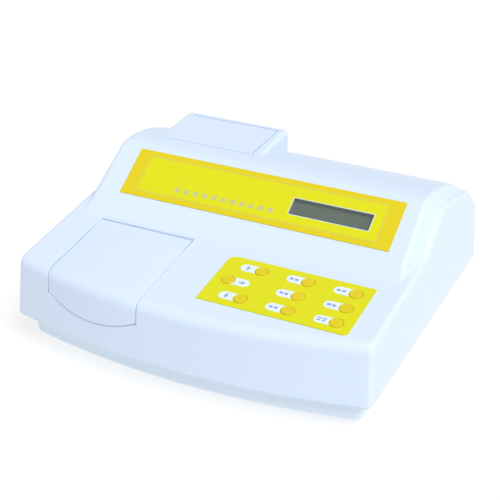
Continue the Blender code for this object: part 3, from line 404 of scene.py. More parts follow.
class Finish:
    """A material under construction round its Principled shader."""

    def __init__(self, name, colour, roughness, **constants):
        self.material = bpy.data.materials.new(name)
        self.material.use_nodes = True
        self.tree = self.material.node_tree
        self.shader = self.tree.nodes["Principled BSDF"]
        self.colour = (*colour, 1.0)
        self.roughness = roughness
        self.shader.inputs["Base Color"].default_value = self.colour
        self.shader.inputs["Roughness"].default_value = roughness
        self.material.diffuse_color = self.colour
        for socket, value in constants.items():
            self.shader.inputs[socket.replace("_", " ")].default_value = value

    def node(self, kind, settings, sockets):
        """Any node: its settings are set first, then the values or links of its sockets."""
        made = self.tree.nodes.new(kind)
        for name, value in settings.items():
            setattr(made, name, value)
        for name, value in sockets.items():
            self.feed(made.inputs[name], value)
        return made

    def feed(self, socket, value):
        if isinstance(value, Signal):
            self.tree.links.new(value.socket, socket)
        elif isinstance(value, bpy.types.NodeSocket):
            self.tree.links.new(value, socket)
        else:
            socket.default_value = value

    def place(self, offset=(0, 0, 0), turn=(0, 0, 0), scale=(1, 1, 1)):
        """The point on the piece, moved, turned and scaled."""
        coordinates = self.node("ShaderNodeTexCoord", {}, {}).outputs["Object"]
        return self.node("ShaderNodeMapping", {"vector_type": "TEXTURE"},
                         {"Vector": coordinates, "Location": offset, "Rotation": turn,
                          "Scale": scale}).outputs["Vector"]

    def axes(self, place):
        split = self.node("ShaderNodeSeparateXYZ", {}, {"Vector": place})
        return [Signal(self, socket) for socket in split.outputs]

    def noise(self, scale, detail=3.0, place=None, roughness=0.5):
        place = self.place() if place is None else place
        made = self.node("ShaderNodeTexNoise", {},
                         {"Vector": place, "Scale": scale, "Detail": detail, "Roughness": roughness})
        return Signal(self, made.outputs[0])

    def cells(self, scale, place=None):
        place = self.place() if place is None else place
        made = self.node("ShaderNodeTexVoronoi", {"feature": "F1"}, {"Vector": place, "Scale": scale})
        return Signal(self, made.outputs["Distance"])

    def blend(self, share, first, last):
        made = self.node("ShaderNodeMix", {"data_type": "RGBA"}, {0: share, 6: first, 7: last})
        return made.outputs[2]

    def shade(self, amount, share):
        """The base colour, darkened by amount where share is one."""
        dark = tuple(channel * (1 - amount) for channel in self.colour[:3])
        self.paint(self.blend(share, self.colour, (*dark, 1.0)))

    def paint(self, colour):
        self.feed(self.shader.inputs["Base Color"], colour)

    def vary_gloss(self, signal, amount):
        self.feed(self.shader.inputs["Roughness"], self.roughness + (signal - 0.5) * amount)

    def emboss(self, height, depth, strength=1.0):
        """Raise the surface by height, a signal from 0 to 1, over depth metres."""
        bump = self.node("ShaderNodeBump", {}, {"Height": height, "Distance": depth, "Strength": strength})
        self.feed(self.shader.inputs["Normal"], bump.outputs["Normal"])


# ---------------------------------------------------------------- finishes
FINISHES = {}


def make_finish(name):
    scene = bpy.context.scene
    if name in MOULDED:
        colour = getattr(scene.tester_case, f"{name}_colour")
        return moulded(f"{name}_plastic", colour, scene.tester_case.case_roughness)
    if name in PRINTED:
        ink = PRINTED[name]
        return printed(f"{ink}_print", getattr(scene.tester_print, f"{ink}_colour"))
    if name == "key":
        return printed("key_film", scene.tester_print.key_colour, 0.32)
    for table, maker in ((WEATHERED, weathered), (GLASSES, clear_glass)):
        if name in table:
            *values, constants = table[name]
            return maker(*values, **constants)
    return MAKERS[name]()


def finish(name):
    """The material of that name, made once."""
    if name not in FINISHES:
        FINISHES[name] = make_finish(name).material
    return FINISHES[name]


def moulded(name, colour, roughness):
    """Injection-moulded plastic: a fine spark-eroded grain, slow gloss drift, and faint flow marks."""
    made = Finish(name, colour, roughness, IOR=1.50, Specular_IOR_Level=0.42, Coat_Roughness=0.30)
    grain = made.noise(2600.0, 2.0)
    drift = made.noise(9.0, 2.0)
    flow = made.noise(3.2, 3.0, made.place(scale=(1.0, 0.35, 1.0)), 0.6)
    made.shade(0.022, flow)
    made.vary_gloss(drift * 0.6 + grain * 0.4, 0.16)
    made.emboss(grain * 0.8 + made.cells(1500.0) * 0.2, 0.000022, 0.5)
    return made


def printed(name, colour, roughness=0.38):
    """Screen-printed polyester film: an even ink with a faint velvet texture and stipple."""
    made = Finish(name, colour, roughness, IOR=1.57, Specular_IOR_Level=0.18)
    velvet = made.noise(3800.0, 2.0)
    made.shade(0.05, made.noise(60.0, 4.0))
    made.vary_gloss(velvet, 0.10)
    made.emboss(velvet, 0.000012, 0.4)
    return made


def weathered(name, colour, roughness, mottle, worn, gloss, grain, depth, strength, **constants):
    """A finish whose colour drifts by mottle: to a worn colour, or darker by a share.

    Grain is a kind of pattern with its size, or None where the mottle itself is felt."""
    made = Finish(name, colour, roughness, **constants)
    scale, detail, rough = mottle
    drift = made.noise(scale, detail, roughness=rough)
    if isinstance(worn, float):
        made.shade(worn, drift)
    else:
        made.paint(made.blend(drift, made.colour, (*worn, 1.0)))
    made.vary_gloss(drift, gloss)
    height = getattr(made, grain[0])(*grain[1:]) if grain else drift
    made.emboss(height, depth, strength)
    return made


def grey_plastic():
    """The darker grey of the sample compartment's liner."""
    made = Finish("liner_plastic", (0.030, 0.032, 0.036), 0.62, IOR=1.50)
    drift = made.noise(30.0, 5.0)
    made.paint(made.blend(drift, made.colour, (0.052, 0.055, 0.060, 1.0)))
    made.vary_gloss(drift, 0.18)
    made.emboss(made.cells(1400.0) + made.noise(2600.0), 0.00004, 0.5)
    return made


def foam():
    """Open-cell seal foam: small pits between soft struts, with painted shade in the pits."""
    made = Finish("seal_foam", (0.028, 0.028, 0.030), 0.95, IOR=1.35)
    pits = made.cells(1100.0)
    # painted shade: the sunken pits are coloured darker than the raised struts
    made.paint(made.blend(pits, (0.012, 0.012, 0.013, 1.0), (0.075, 0.075, 0.080, 1.0)))
    made.emboss(pits, 0.00035, 0.9)
    return made


def steel():
    """Zinc-plated steel with fine turning lines and a few dull patches."""
    made = Finish("plated_steel", (0.58, 0.59, 0.60), 0.28, Metallic=1.0)
    patches = made.noise(220.0, 5.0)
    lines = made.noise(1800.0, 2.0, made.place(scale=(1.0, 0.12, 0.12)))
    made.shade(0.20, patches)
    made.vary_gloss(lines * 0.6 + patches * 0.4, 0.26)
    made.emboss(lines, 0.00001, 0.5)
    return made


def clear_glass(name, colour, roughness, shade, patches, gloss, ripple, **constants):
    """Thin clear glass, a little greyed in patches."""
    made = Finish(name, colour, roughness, Coat_Weight=1.0, Coat_Roughness=0.02, **constants)
    made.shade(shade, made.noise(patches, 3.0))
    made.vary_gloss(made.noise(ripple, 3.0), gloss)
    return made


def tungsten():
    made = Finish("filament", (0.32, 0.31, 0.30), 0.35, Metallic=1.0)
    made.shade(0.30, made.noise(2500.0, 3.0))
    made.emboss(made.noise(4000.0), 0.00002, 0.6)
    return made


def window_glass():
    """The display's window: a grey tint under a hard, very slightly uneven surface."""
    made = Finish("window_glass", (0.075, 0.095, 0.080), 0.10, IOR=1.49, Alpha=0.30, Coat_Weight=0.6,
                  Coat_Roughness=0.06)
    smear = made.noise(38.0, 5.0, roughness=0.6)
    made.vary_gloss(smear, 0.10)
    made.shade(0.15, smear)
    return made


def liquid_crystal():
    """The display's glass: sixteen by two character cells that barely show when it is off."""
    looks = bpy.context.scene.tester_print
    made = Finish("liquid_crystal", looks.glass_colour, 0.50, IOR=1.50, Specular_IOR_Level=0.2)
    centre = middle("lcd_window")
    x, y, _z = made.axes(made.place(offset=centre, turn=(DISPLAY_SLOPE, 0, 0)))
    cell = (0.0043, 0.0075)
    dot = cell[0] / 6
    columns = (x.repeat(cell[0] / 2) > dot / 2) * (x.repeat(dot / 2) > dot * 0.08)
    rows = ((y + cell[1] / 2).repeat(cell[1] / 2) > dot / 2) * (y.repeat(dot / 2) > dot * 0.08)
    inside = (abs(x) < cell[0] * 8) * (abs(y) < cell[1])
    pale = tuple(channel * 1.08 for channel in looks.glass_colour)
    mottle = made.noise(500.0, 3.0)
    tone = made.blend(mottle * 0.25 + columns * rows * inside * 0.5, made.colour, (*pale, 1.0))
    made.paint(tone)
    made.vary_gloss(mottle, 0.05)
    return made


def circuit_board():
    """Green lacquer over a pattern of copper tracks, with tinned pads."""
    made = Finish("circuit_board", (0.010, 0.105, 0.045), 0.32, IOR=1.55)
    x, y, _z = made.axes(made.place())
    wander = made.noise(70.0, 1.0) * 0.010
    tracks = (x + wander).repeat(0.0010) < 0.0004
    across = (y + wander).repeat(0.0016) < 0.0005
    region = made.noise(28.0, 0.0) > 0.52
    copper = tracks * region + across * (1 - region)
    pads = made.cells(260.0) < 0.13
    lacquer = made.blend(copper, made.colour, (0.035, 0.200, 0.075, 1.0))
    made.paint(made.blend(pads, lacquer, (0.62, 0.62, 0.60, 1.0)))
    made.emboss(copper, 0.00004, 0.7)
    made.vary_gloss(pads, 0.20)
    return made


def laminations():
    """Stacked transformer iron under varnish."""
    made = Finish("laminations", (0.20, 0.18, 0.165), 0.42, Metallic=0.75)
    _x, _y, z = made.axes(made.place())
    sheets = z.repeat(0.00025) * 4000.0
    rust = made.noise(60.0, 6.0, roughness=0.7)
    made.paint(made.blend(rust, made.colour, (0.30, 0.16, 0.09, 1.0)))
    made.emboss(sheets, 0.00010, 0.8)
    made.vary_gloss(rust, 0.3)
    return made


def winding():
    """Enamelled copper wire, wound side by side, with painted shade in the grooves between the turns."""
    made = Finish("winding", (0.50, 0.20, 0.075), 0.30, Metallic=0.85)
    x, _y, _z = made.axes(made.place())
    turns = x.repeat(0.00035) * 2800.0
    # painted shade: each turn is darkened towards the grooves beside it, darkest in the grooves
    made.shade(0.45, 1 - turns)
    made.emboss(turns, 0.00020, 0.9)
    made.vary_gloss(made.noise(300.0), 0.2)
    return made


# Weathered finishes: colour, roughness, mottle (scale, detail, roughness), worn colour or share, gloss,
# grain, its depth and strength, and the shader's constants.
WEATHERED = {
    "black": ("black_plastic", (0.022, 0.022, 0.024), 0.55, (45.0, 6.0, 0.65), (0.045, 0.045, 0.048), 0.22,
              ("cells", 1900.0), 0.00004, 0.6, {"IOR": 1.50}),
    "rubber": ("foot_rubber", (0.020, 0.020, 0.021), 0.78, (160.0, 6.0, 0.7), (0.060, 0.058, 0.055), 0.16,
               ("noise", 900.0, 4.0), 0.00006, 0.6, {"IOR": 1.50}),
    "brass": ("contact_brass", (0.72, 0.53, 0.25), 0.26, (300.0, 6.0, 0.7), (0.46, 0.31, 0.14), 0.30,
              None, 0.000012, 0.4, {"Metallic": 1.0}),
    "panel": ("panel_paint", (0.55, 0.57, 0.59), 0.42, (26.0, 4.0, 0.5), 0.06, 0.14,
              ("noise", 700.0, 2.0), 0.00004, 0.5, {"IOR": 1.52}),
    "ceramic": ("lamp_ceramic", (0.80, 0.76, 0.69), 0.45, (1400.0, 5.0, 0.75), 0.18, 0.25,
                None, 0.00003, 0.5, {"IOR": 1.55}),
    "frame": ("display_frame", (0.03, 0.032, 0.034), 0.38, (240.0, 6.0, 0.7), (0.09, 0.09, 0.09), 0.25,
              None, 0.00001, 0.4, {"Metallic": 0.7}),
}
GLASSES = {
    "bulb": ("bulb_glass", (0.86, 0.89, 0.90), 0.04, 0.35, 120.0, 0.03, 500.0, {"IOR": 1.46, "Alpha": 0.22}),
    "lens": ("lens_glass", (0.82, 0.90, 0.88), 0.03, 0.12, 90.0, 0.02, 800.0, {"IOR": 1.52, "Alpha": 0.45}),
}
MAKERS = {"liner": grey_plastic, "foam": foam, "steel": steel, "tungsten": tungsten, "window": window_glass,
          "crystal": liquid_crystal, "board": circuit_board, "iron": laminations, "copper": winding}
MOULDED = ("case", "base", "cover")
PRINTED = {"white": "tab", "field": "field", "border": "border", "line": "line", "mark": "mark",
           "caption": "caption"}


# ---------------------------------------------------------------- modelling tools
def deselect():
    bpy.ops.object.select_all(action="DESELECT")


def only(piece):
    """Make the piece the one selected, active object."""
    deselect()
    piece.select_set(True)
    bpy.context.view_layer.objects.active = piece
    return piece


def named(name):
    """Name the primitive that was just added."""
    piece = bpy.context.active_object
    piece.name = name
    piece.data.name = name
    return piece


@contextmanager
def editing(piece, kind="FACE"):
    """Edit mode with nothing selected."""
    only(piece)
    bpy.ops.object.mode_set(mode="EDIT")
    bpy.ops.mesh.select_mode(type=kind)
    bpy.ops.mesh.select_all(action="DESELECT")
    yield
    bpy.ops.object.mode_set(mode="OBJECT")


def pick(kind, test):
    """Select the faces, edges or verts of the piece in edit mode that pass the test."""
    data = bpy.context.edit_object.data
    mesh = bmesh.from_edit_mesh(data)
    found = [item for item in getattr(mesh, kind) if test(item)]
    for item in found:
        item.select_set(True)
    mesh.select_flush_mode()
    bmesh.update_edit_mesh(data)
    return len(found)


def middle_of(edge):
    return (edge.verts[0].co + edge.verts[1].co) / 2


def sharp(edge, degrees=35):
    return len(edge.link_faces) == 2 and edge.calc_face_angle() > radians(degrees)


def bake_place(piece):
    """Put the object's own place, turn and scale into its mesh."""
    only(piece)
    bpy.ops.object.transform_apply(location=True, rotation=True, scale=True)
    return piece


def settle(piece, place=(0, 0, 0), turn=(0, 0, 0)):
    piece.location = place
    piece.rotation_euler = turn
    return bake_place(piece)


def apply_modifier(piece, kind, **settings):
    only(piece)
    modifier = piece.modifiers.new(kind.lower(), kind)
    for name, value in settings.items():
        setattr(modifier, name, value)
    bpy.ops.object.modifier_apply(modifier=modifier.name)
    return piece


def combine(piece, tool, operation="DIFFERENCE"):
    """Cut, join or trim the piece by the tool, which is used up."""
    apply_modifier(piece, "BOOLEAN", object=tool, operation=operation, solver="EXACT")
    bpy.data.objects.remove(tool)
    return piece


def join(pieces, name=None):
    """One object from several, under a new name or the first one's."""
    only(pieces[0])
    for piece in pieces[1:]:
        piece.select_set(True)
    bpy.ops.object.join()
    pieces[0].name = name or pieces[0].name
    return pieces[0]


def copy_of(piece, name):
    made = piece.copy()
    made.data = piece.data.copy()
    made.name = name
    made.data.name = name
    bpy.context.collection.objects.link(made)
    return made


def outward(piece):
    with editing(piece, "VERT"):
        bpy.ops.mesh.select_all(action="SELECT")
        bpy.ops.mesh.remove_doubles(threshold=MERGE)
        bpy.ops.mesh.normals_make_consistent(inside=False)
    return piece


def smooth(piece, degrees):
    """Smooth shading between sharp edges, with flat faces kept flat."""
    only(piece)
    bpy.ops.object.shade_smooth_by_angle(angle=radians(degrees))
    apply_modifier(piece, "WEIGHTED_NORMAL", keep_sharp=True, weight=60)
    return piece


def bevel_edges(piece, width, segments=3, test=sharp, clamp=True):
    with editing(piece, "EDGE"):
        if pick("edges", test):
            bpy.ops.mesh.bevel(offset=width, segments=segments, profile=0.5, affect="EDGES",
                               clamp_overlap=clamp)
    return piece


def slab(name, low, high):
    """A block between two corners."""
    centre = [(a + b) / 2 for a, b in zip(low, high)]
    bpy.ops.mesh.primitive_cube_add(size=1, location=centre)
    piece = named(name)
    piece.scale = [b - a for a, b in zip(low, high)]
    return bake_place(piece)


def centred_slab(name, half_x, half_y, low, high):
    return slab(name, (-half_x, -half_y, low), (half_x, half_y, high))


def upright(edge):
    direction = edge.verts[1].co - edge.verts[0].co
    return abs(direction.z) > 0.99 * direction.length


def plate(name, half_x, half_y, low, high, corner, soft=0.0, segments=8):
    """A plate with round corners, whose top edge is softened."""
    piece = centred_slab(name, half_x, half_y, low, high)
    bevel_edges(piece, corner, segments, upright)
    return soften_above(piece, soft, high - soft) if soft else piece


TURNS = {"Z": (0, 0, 0), "Y": (-pi / 2, 0, 0), "X": (0, pi / 2, 0)}


def turned(name, profile, sides=48, centre=(0, 0, 0), axis="Z"):
    """A closed turned solid; profile is a list of (radius, height) from one end to the other."""
    radius, height = max(profile[0][0], POLE), profile[0][1]
    bpy.ops.mesh.primitive_circle_add(vertices=sides, radius=radius, fill_type="NGON",
                                      location=(0, 0, height))
    piece = bake_place(named(name))
    with editing(piece, "VERT"):
        bpy.ops.mesh.select_all(action="SELECT")
        for next_radius, next_height in profile[1:]:
            next_radius = max(next_radius, POLE)
            share = next_radius / radius
            bpy.ops.mesh.extrude_region_move(
                TRANSFORM_OT_translate={"value": (0, 0, next_height - height)})
            bpy.ops.transform.resize(value=(share, share, 1), center_override=(0, 0, next_height))
            radius, height = next_radius, next_height
    outward(piece)
    return settle(piece, centre, TURNS[axis])


def drill(piece, radius, low, high, sides=40, centre=(0, 0, 0), axis="Z"):
    """A round hole from low to high along an axis through centre."""
    return combine(piece, turned("drill", [(radius, low), (radius, high)], sides, centre, axis))


def soften_above(piece, width, height, segments=2, axis="z", convex=False):
    """Round the sharp edges above a height, or beyond a place along another axis."""
    return bevel_edges(piece, width, segments, lambda edge: sharp(edge) and (edge.is_convex or not convex)
                       and getattr(middle_of(edge), axis) > height)


def triangle(name, radius, low, high):
    """A thin triangle that points along +Y."""
    bpy.ops.mesh.primitive_circle_add(vertices=3, radius=radius, fill_type="NGON", location=(0, 0, low))
    piece = bake_place(named(name))
    with editing(piece):
        bpy.ops.mesh.select_all(action="SELECT")
        bpy.ops.mesh.extrude_region_move(TRANSFORM_OT_translate={"value": (0, 0, high - low)})
    return outward(piece)


def arc(centre, radius, first, last, steps=6):
    """Profile points on an arc, with angles in degrees from the outward radius."""
    return [(centre[0] + radius * cos(radians(angle)), centre[1] + radius * sin(radians(angle)))
            for angle in spread(first, last, steps)]


def skinned(name, rings):
    """A closed solid through equal rings of points: a grid wrapped round and capped."""
    around, along = len(rings[0]), len(rings)
    bpy.ops.mesh.primitive_grid_add(x_subdivisions=around, y_subdivisions=along - 1, size=1)
    piece = bake_place(named(name))
    place_points(piece, [point for ring in rings for point in (*ring, ring[0])])
    with editing(piece, "VERT"):
        bpy.ops.mesh.select_all(action="SELECT")
        bpy.ops.mesh.remove_doubles(threshold=MERGE)
        bpy.ops.mesh.fill_holes(sides=0)
        bpy.ops.mesh.normals_make_consistent(inside=False)
    return piece


def place_points(piece, points):
    """Bend a grid by putting its points, row by row, where they belong."""
    if len(points) != len(piece.data.vertices):
        raise RuntimeError(f"{piece.name} needs {len(piece.data.vertices)} points")
    piece.data.vertices.foreach_set("co", [value for point in points for value in point])
    piece.data.update()


def along_x(name, stations, narrow=False):
    """A solid through YZ outlines along X; narrow applies the case's side draft."""
    return skinned(name, [[(drafted(x, z) if narrow else x, y, z) for y, z in points]
                          for x, points in stations])


def merge_flats(piece):
    """Join coplanar faces, so that flat stretches are single faces."""
    with editing(piece):
        bpy.ops.mesh.select_all(action="SELECT")
        bpy.ops.mesh.dissolve_limited(angle_limit=radians(0.06), delimit=set())
    return piece


def skin_of(piece):
    return BVHTree.FromObject(piece, bpy.context.evaluated_depsgraph_get())


def on_skin(skin, point):
    hit = skin.find_nearest(point, ON_SKIN)
    return hit[0] is not None


def dress(piece, look, *nodes, body="case", angle=30):
    """Smooth a finished piece; give it its material, slot and body, and hide the nodes it stands for."""
    smooth(piece, angle)
    piece.data.materials.clear()
    piece.data.materials.append(finish(look))
    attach(piece, body)
    if nodes:
        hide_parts(*nodes)
    return piece


def repaint(node, look):
    """A better material on a node that is shown as it is."""
    data = frame["nodes"][node].data
    data.materials.clear()
    data.materials.append(finish(look))


def sloping(piece, place, slope):
    """Put a piece that was modelled flat onto a sloping face."""
    return settle(piece, place, (slope, 0, 0))


def facing_back(piece, x, y, z):
    """Turn a piece that was modelled flat so that its top faces the back."""
    return settle(piece, (x, y, z), (-pi / 2, 0, 0))


def copies(piece, places):
    """The piece at the first place and its copies at the others, joined."""
    made = [piece] + [copy_of(piece, f"{piece.name}_{n}") for n in range(1, len(places))]
    for item, place in zip(made, places):
        settle(item, place)
    return join(made)


# ---------------------------------------------------------------- settings
def colour_setting(name, description, default):
    return FloatVectorProperty(name=name, description=description, subtype="COLOR", size=3,
                               min=0.0, max=1.0, default=default)


def length_setting(name, description, default):
    return FloatProperty(name=name, description=description, subtype="DISTANCE", unit="LENGTH",
                         min=0.0, precision=5, default=default)


class TesterCase(bpy.types.PropertyGroup):
    case_colour: colour_setting("Case colour", "Colour of the moulded case", (0.626, 0.732, 0.893))
    cover_colour: colour_setting("Cover colour", "Colour of the lid and the hatch", (0.620, 0.724, 0.884))
    # The base is the case's own plastic painted lighter: painted light, to make up for the shade under the
    # case's lip.
    base_colour: colour_setting("Base colour", "Colour of the tray underneath", (0.720, 0.842, 0.960))
    case_roughness: FloatProperty(name="Case roughness", description="How matt the mouldings are",
                                  subtype="FACTOR", min=0.0, max=1.0, default=0.36)
    rim_rounding: length_setting("Rim rounding", "Rounding of the openings' rims", 0.0009)
    cover_rounding: length_setting("Cover rounding", "Rounding of the covers' edges", 0.0009)
    lid_crown: length_setting("Lid crown", "How much higher the lid's middle is than its sides", 0.0017)


class TesterPrint(bpy.types.PropertyGroup):
    field_colour: colour_setting("Field colour", "Main colour of the printed films", (0.665, 0.665, 0.008))
    border_colour: colour_setting("Border colour", "Border of the display's film", (0.690, 0.560, 0.012))
    line_colour: colour_setting("Line colour", "Thin line round the field", (0.620, 0.510, 0.090))
    key_colour: colour_setting("Key colour", "Colour of the keys", (0.690, 0.550, 0.016))
    tab_colour: colour_setting("Tab colour", "Name tabs beside the keys", (0.690, 0.780, 0.860))
    mark_colour: colour_setting("Mark colour", "Marks on the name tabs", (0.270, 0.320, 0.560))
    caption_colour: colour_setting("Caption colour", "Row of marks on the display's film",
                                   (0.480, 0.480, 0.300))
    glass_colour: colour_setting("Glass colour", "Glass of the display when it is off",
                                 (0.330, 0.395, 0.350))
    border_ends: length_setting("Border at the ends", "Width of the border at both ends", 0.0140)
    border_sides: length_setting("Border at the sides", "Width of the border along the film", 0.0052)
    line_width: length_setting("Line width", "Width of the thin line", 0.0011)


class TesterStage(bpy.types.PropertyGroup):
    floor_colour: colour_setting("Floor colour", "Colour of the table under the tester",
                                 (0.270, 0.270, 0.270))
    floor_glow: FloatProperty(name="Floor glow", description="Light that the table gives off itself",
                              min=0.0, default=0.70)
    sky: FloatProperty(name="Sky", description="Brightness of the light from all round",
                       min=0.0, default=0.50)
    sun: FloatProperty(name="Sun", description="Strength of the soft light from the right",
                       min=0.0, default=2.69)
    lens: FloatProperty(name="Lens", description="Focal length of the camera", unit="CAMERA",
                        min=1.0, default=88.37)


# ---------------------------------------------------------------- case
LID_X0, LID_X1 = (corner.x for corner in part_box("sample_lid"))
HATCH_X0, HATCH_X1 = (corner.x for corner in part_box("rear_hatch"))
LID_CENTRE = (LID_X0 + LID_X1) / 2
LID_BACK = 0.0875
HATCH_FRONT = CROWN_BACK - 0.011
HATCH_BACK = CROWN_BACK + 0.0532
KEY_NODES = [f"key_{number}" for number in range(1, 10)]
KEY_RADIUS = 0.0062
KEY_SEAT = 0.0079
HINGE_RELIEF = 0.0020
PANEL_X0, PANEL_X1 = -0.060, 0.140
PANEL_Z0 = up(0.008)
PANEL_Z1 = up(CREST_HEIGHT - CROWN_RUN * tan(CROWN_SLOPE) - REAR_RUN * tan(REAR_SLOPE) - 0.014)


def tongue_height(x):
    """Lower edge of the lid's front tongue, lowest in the middle."""
    share = (x - LID_CENTRE) / ((LID_X1 - LID_X0) / 2)
    return up(LID_LIP_MIDDLE + LID_LIP_RISE * share * share)


def front_corner(x, depth, low):
    """From the deck over the rounded front edge and down the front wall to a height."""
    corners = inset(hump_corners(x), depth)
    first = 2 * ARC_STEPS + 1
    curve = rounded(corners)[first:first + 4 * ARC_STEPS + 1]
    return [*reversed(curve), meet(corners[0][:2], FRONT_ANGLE, (0.0, low), 0.0)]


def relief(y, z, slope, radius):
    """Points that round a case rim behind a hinge, from down in the gap up to the surface."""
    made = []
    for turn in spread(0.0, pi / 2, 8):
        run, drop = radius * (1 - cos(turn)), radius * (1 - sin(turn))
        made.append((y + run * cos(slope) + drop * sin(slope), z + run * sin(slope) - drop * cos(slope)))
    return made


def lid_opening():
    """The hole for the lid, which flares at the back so that the hinge has room."""
    outlines = []
    rear = back(LID_BACK) + LID_GAP
    top = deck_height(rear - CORNER_Y)
    flare = relief(rear, top, DECK_SLOPE, HINGE_RELIEF)
    for x in spread(LID_X0 - LID_GAP, LID_X1 + LID_GAP, 14):
        low = tongue_height(x) - LID_GAP
        outer = front_corner(x, -2 * WALL, low)
        inner = front_corner(x, 2 * WALL, low)
        outlines.append((x, [(flare[-1][0], top + 2 * WALL), *outer, *reversed(inner),
                             (rear, top - 2 * WALL), *flare]))
    return along_x("lid_opening", outlines)


def hatch_opening():
    """The hole for the hatch, which flares at the back as the lid's does."""
    front, rear = back(HATCH_FRONT) - LID_GAP, back(HATCH_BACK) + LID_GAP
    top = up(BOX_TOP) - (back(BOX_BACK) - rear) * tan(BOX_TILT)
    flare = relief(rear, top, BOX_TILT, HINGE_RELIEF)
    points = [(flare[-1][0], top + 2 * WALL), (front, top + 2 * WALL), (front, top - 4 * WALL),
              (rear, top - 4 * WALL), *flare]
    return along_x("hatch_opening", [(x, points) for x in (HATCH_X0 - LID_GAP, HATCH_X1 + LID_GAP)])


def panel_opening():
    piece = slab("panel_opening", (PANEL_X0, REAR_Y - 2 * WALL, PANEL_Z0),
                 (PANEL_X1, REAR_Y + WALL, PANEL_Z1))
    return bevel_edges(piece, 0.002, 6, lambda edge: abs(edge.verts[0].co.y - edge.verts[1].co.y) > WALL)


def window_opening():
    _low, _high, centre, half_x = extent("lcd_window")
    piece = centred_slab("window_opening", half_x + GAP, WINDOW_HEIGHT / 2 + GAP, -2 * WALL, 2 * WALL)
    return sloping(piece, centre, DISPLAY_SLOPE)


def key_place(node):
    """Where a key's centre line meets the deck."""
    centre = middle(node)
    return (centre.x, centre.y, deck_height(centre.y - CORNER_Y))


def case_shell(looks):
    shell = merge_flats(along_x("case_shell", case_stations(0.0), narrow=True))
    combine(shell, along_x("box_outer", box_stations(0.0)), "UNION")
    outer_skin = skin_of(shell)
    for tool in (along_x("case_inside", case_stations(WALL), narrow=True),
                 along_x("box_inside", box_stations(WALL)),
                 along_x("throat", base_stations(WALL, up(-WALL), up(2 * WALL))),
                 lid_opening(), hatch_opening(), panel_opening()):
        combine(shell, tool)
    bevel_edges(shell, looks.rim_rounding, 3,
                lambda edge: sharp(edge) and edge.is_convex and middle_of(edge).z > up(2 * LIP_RADIUS)
                and on_skin(outer_skin, middle_of(edge)), clamp=False)
    combine(shell, window_opening())
    for node in KEY_NODES:
        seat = turned("key_seat", [(KEY_SEAT, -2 * WALL), (KEY_SEAT, WALL)], 32)
        combine(shell, sloping(seat, key_place(node), DECK_SLOPE))
    dress(shell, "case", "upper_shell")


class TESTER_OT_case(bpy.types.Operator):
    """Skin the case, open it for the covers, the display and the keys, and round the rims"""
    bl_idname = "tester.case"
    bl_label = "Case"

    def execute(self, context):
        case_shell(context.scene.tester_case)
        return {"FINISHED"}


# ---------------------------------------------------------------- hinged covers
PIN_BORE = 0.0015
RIB_WIDTH, RIB_HEIGHT = 0.0016, 0.0035
RIB_IN, RIB_BACK = 0.004, 0.070
CROWN_POWER, CROWN_LEVEL = 2.4, 0.3     # how the lid's top sinks to its ends, and where it is level


def joint_place(name):
    return next(joint for joint in frame["joints"] if joint["name"] == name)["pos_m"]


def cover_axis(name):
    """World Y and Z of a cover's hinge."""
    return tuple(joint_place(name)[1:3])


def barrel_points(axis, slope, steps=30):
    """The barrel's outline from under the plate, round the back and up to the top."""
    lift = (BARREL_RADIUS - LID_PROUD - LID_THICKNESS) / BARREL_RADIUS
    start = pi - atan2(lift, (1 - lift * lift) ** 0.5)
    return [(axis[0] + BARREL_RADIUS * cos(angle), axis[1] + BARREL_RADIUS * sin(angle))
            for angle in spread(start + slope, 2.5 * pi + slope, steps)]


def lid_ring(x, crown):
    """One section of the lid, whose top is highest in the middle and sinks to both ends."""
    share = abs(x - LID_CENTRE) / ((LID_X1 - LID_X0) / 2)
    sink = crown * (share ** CROWN_POWER - CROWN_LEVEL)
    outer = front_corner(x, sink - LID_PROUD, tongue_height(x))
    level = front_corner(x, -LID_PROUD, tongue_height(x))
    inner = front_corner(x, LID_THICKNESS, tongue_height(x))
    barrel = barrel_points(cover_axis("lid_hinge"), DECK_SLOPE)
    top = []
    for step in spread(0.0, 1.0, 20)[1:-1]:
        y, z = between(barrel[-1], level[0], step)
        drop = sink * eased(step / 0.3)
        top.append((y + drop * sin(DECK_SLOPE), z - drop * cos(DECK_SLOPE)))
    return [*top, *outer, *reversed(inner), *barrel]


def bored(piece, axis):
    return drill(piece, PIN_BORE, LID_X0 - WALL, HATCH_X1 + 4 * WALL, 32, (0, *axis), "X")


def light_trap():
    """A low rib under the lid, all round the compartment."""
    low = (LID_X0 + RIB_IN, back(RIB_IN))
    high = (LID_X1 - RIB_IN, back(RIB_BACK))
    half = ((high[0] - low[0]) / 2, (high[1] - low[1]) / 2)
    centre = ((low[0] + high[0]) / 2, (low[1] + high[1]) / 2)
    top = -LID_THICKNESS + 0.0004
    rib = plate("light_trap", *half, top - RIB_HEIGHT, top, 0.004)
    combine(rib, plate("trap_inside", half[0] - RIB_WIDTH, half[1] - RIB_WIDTH, top - 2 * RIB_HEIGHT,
                       top + RIB_HEIGHT, 0.004 - RIB_WIDTH))
    bevel_edges(rib, 0.0004, 2, lambda edge: sharp(edge) and middle_of(edge).z < top - RIB_HEIGHT / 2)
    return sloping(rib, (centre[0], centre[1], deck_height(centre[1] - CORNER_Y)), DECK_SLOPE)


def sample_lid(looks):
    stations = [(x, lid_ring(x, looks.lid_crown)) for x in spread(LID_X0, LID_X1, 28)]
    lid = along_x("lid_cover", stations)
    bevel_edges(lid, looks.cover_rounding, 3)
    bored(lid, cover_axis("lid_hinge"))
    combine(lid, light_trap(), "UNION")
    dress(lid, "cover", "sample_lid", body="lid", angle=32)


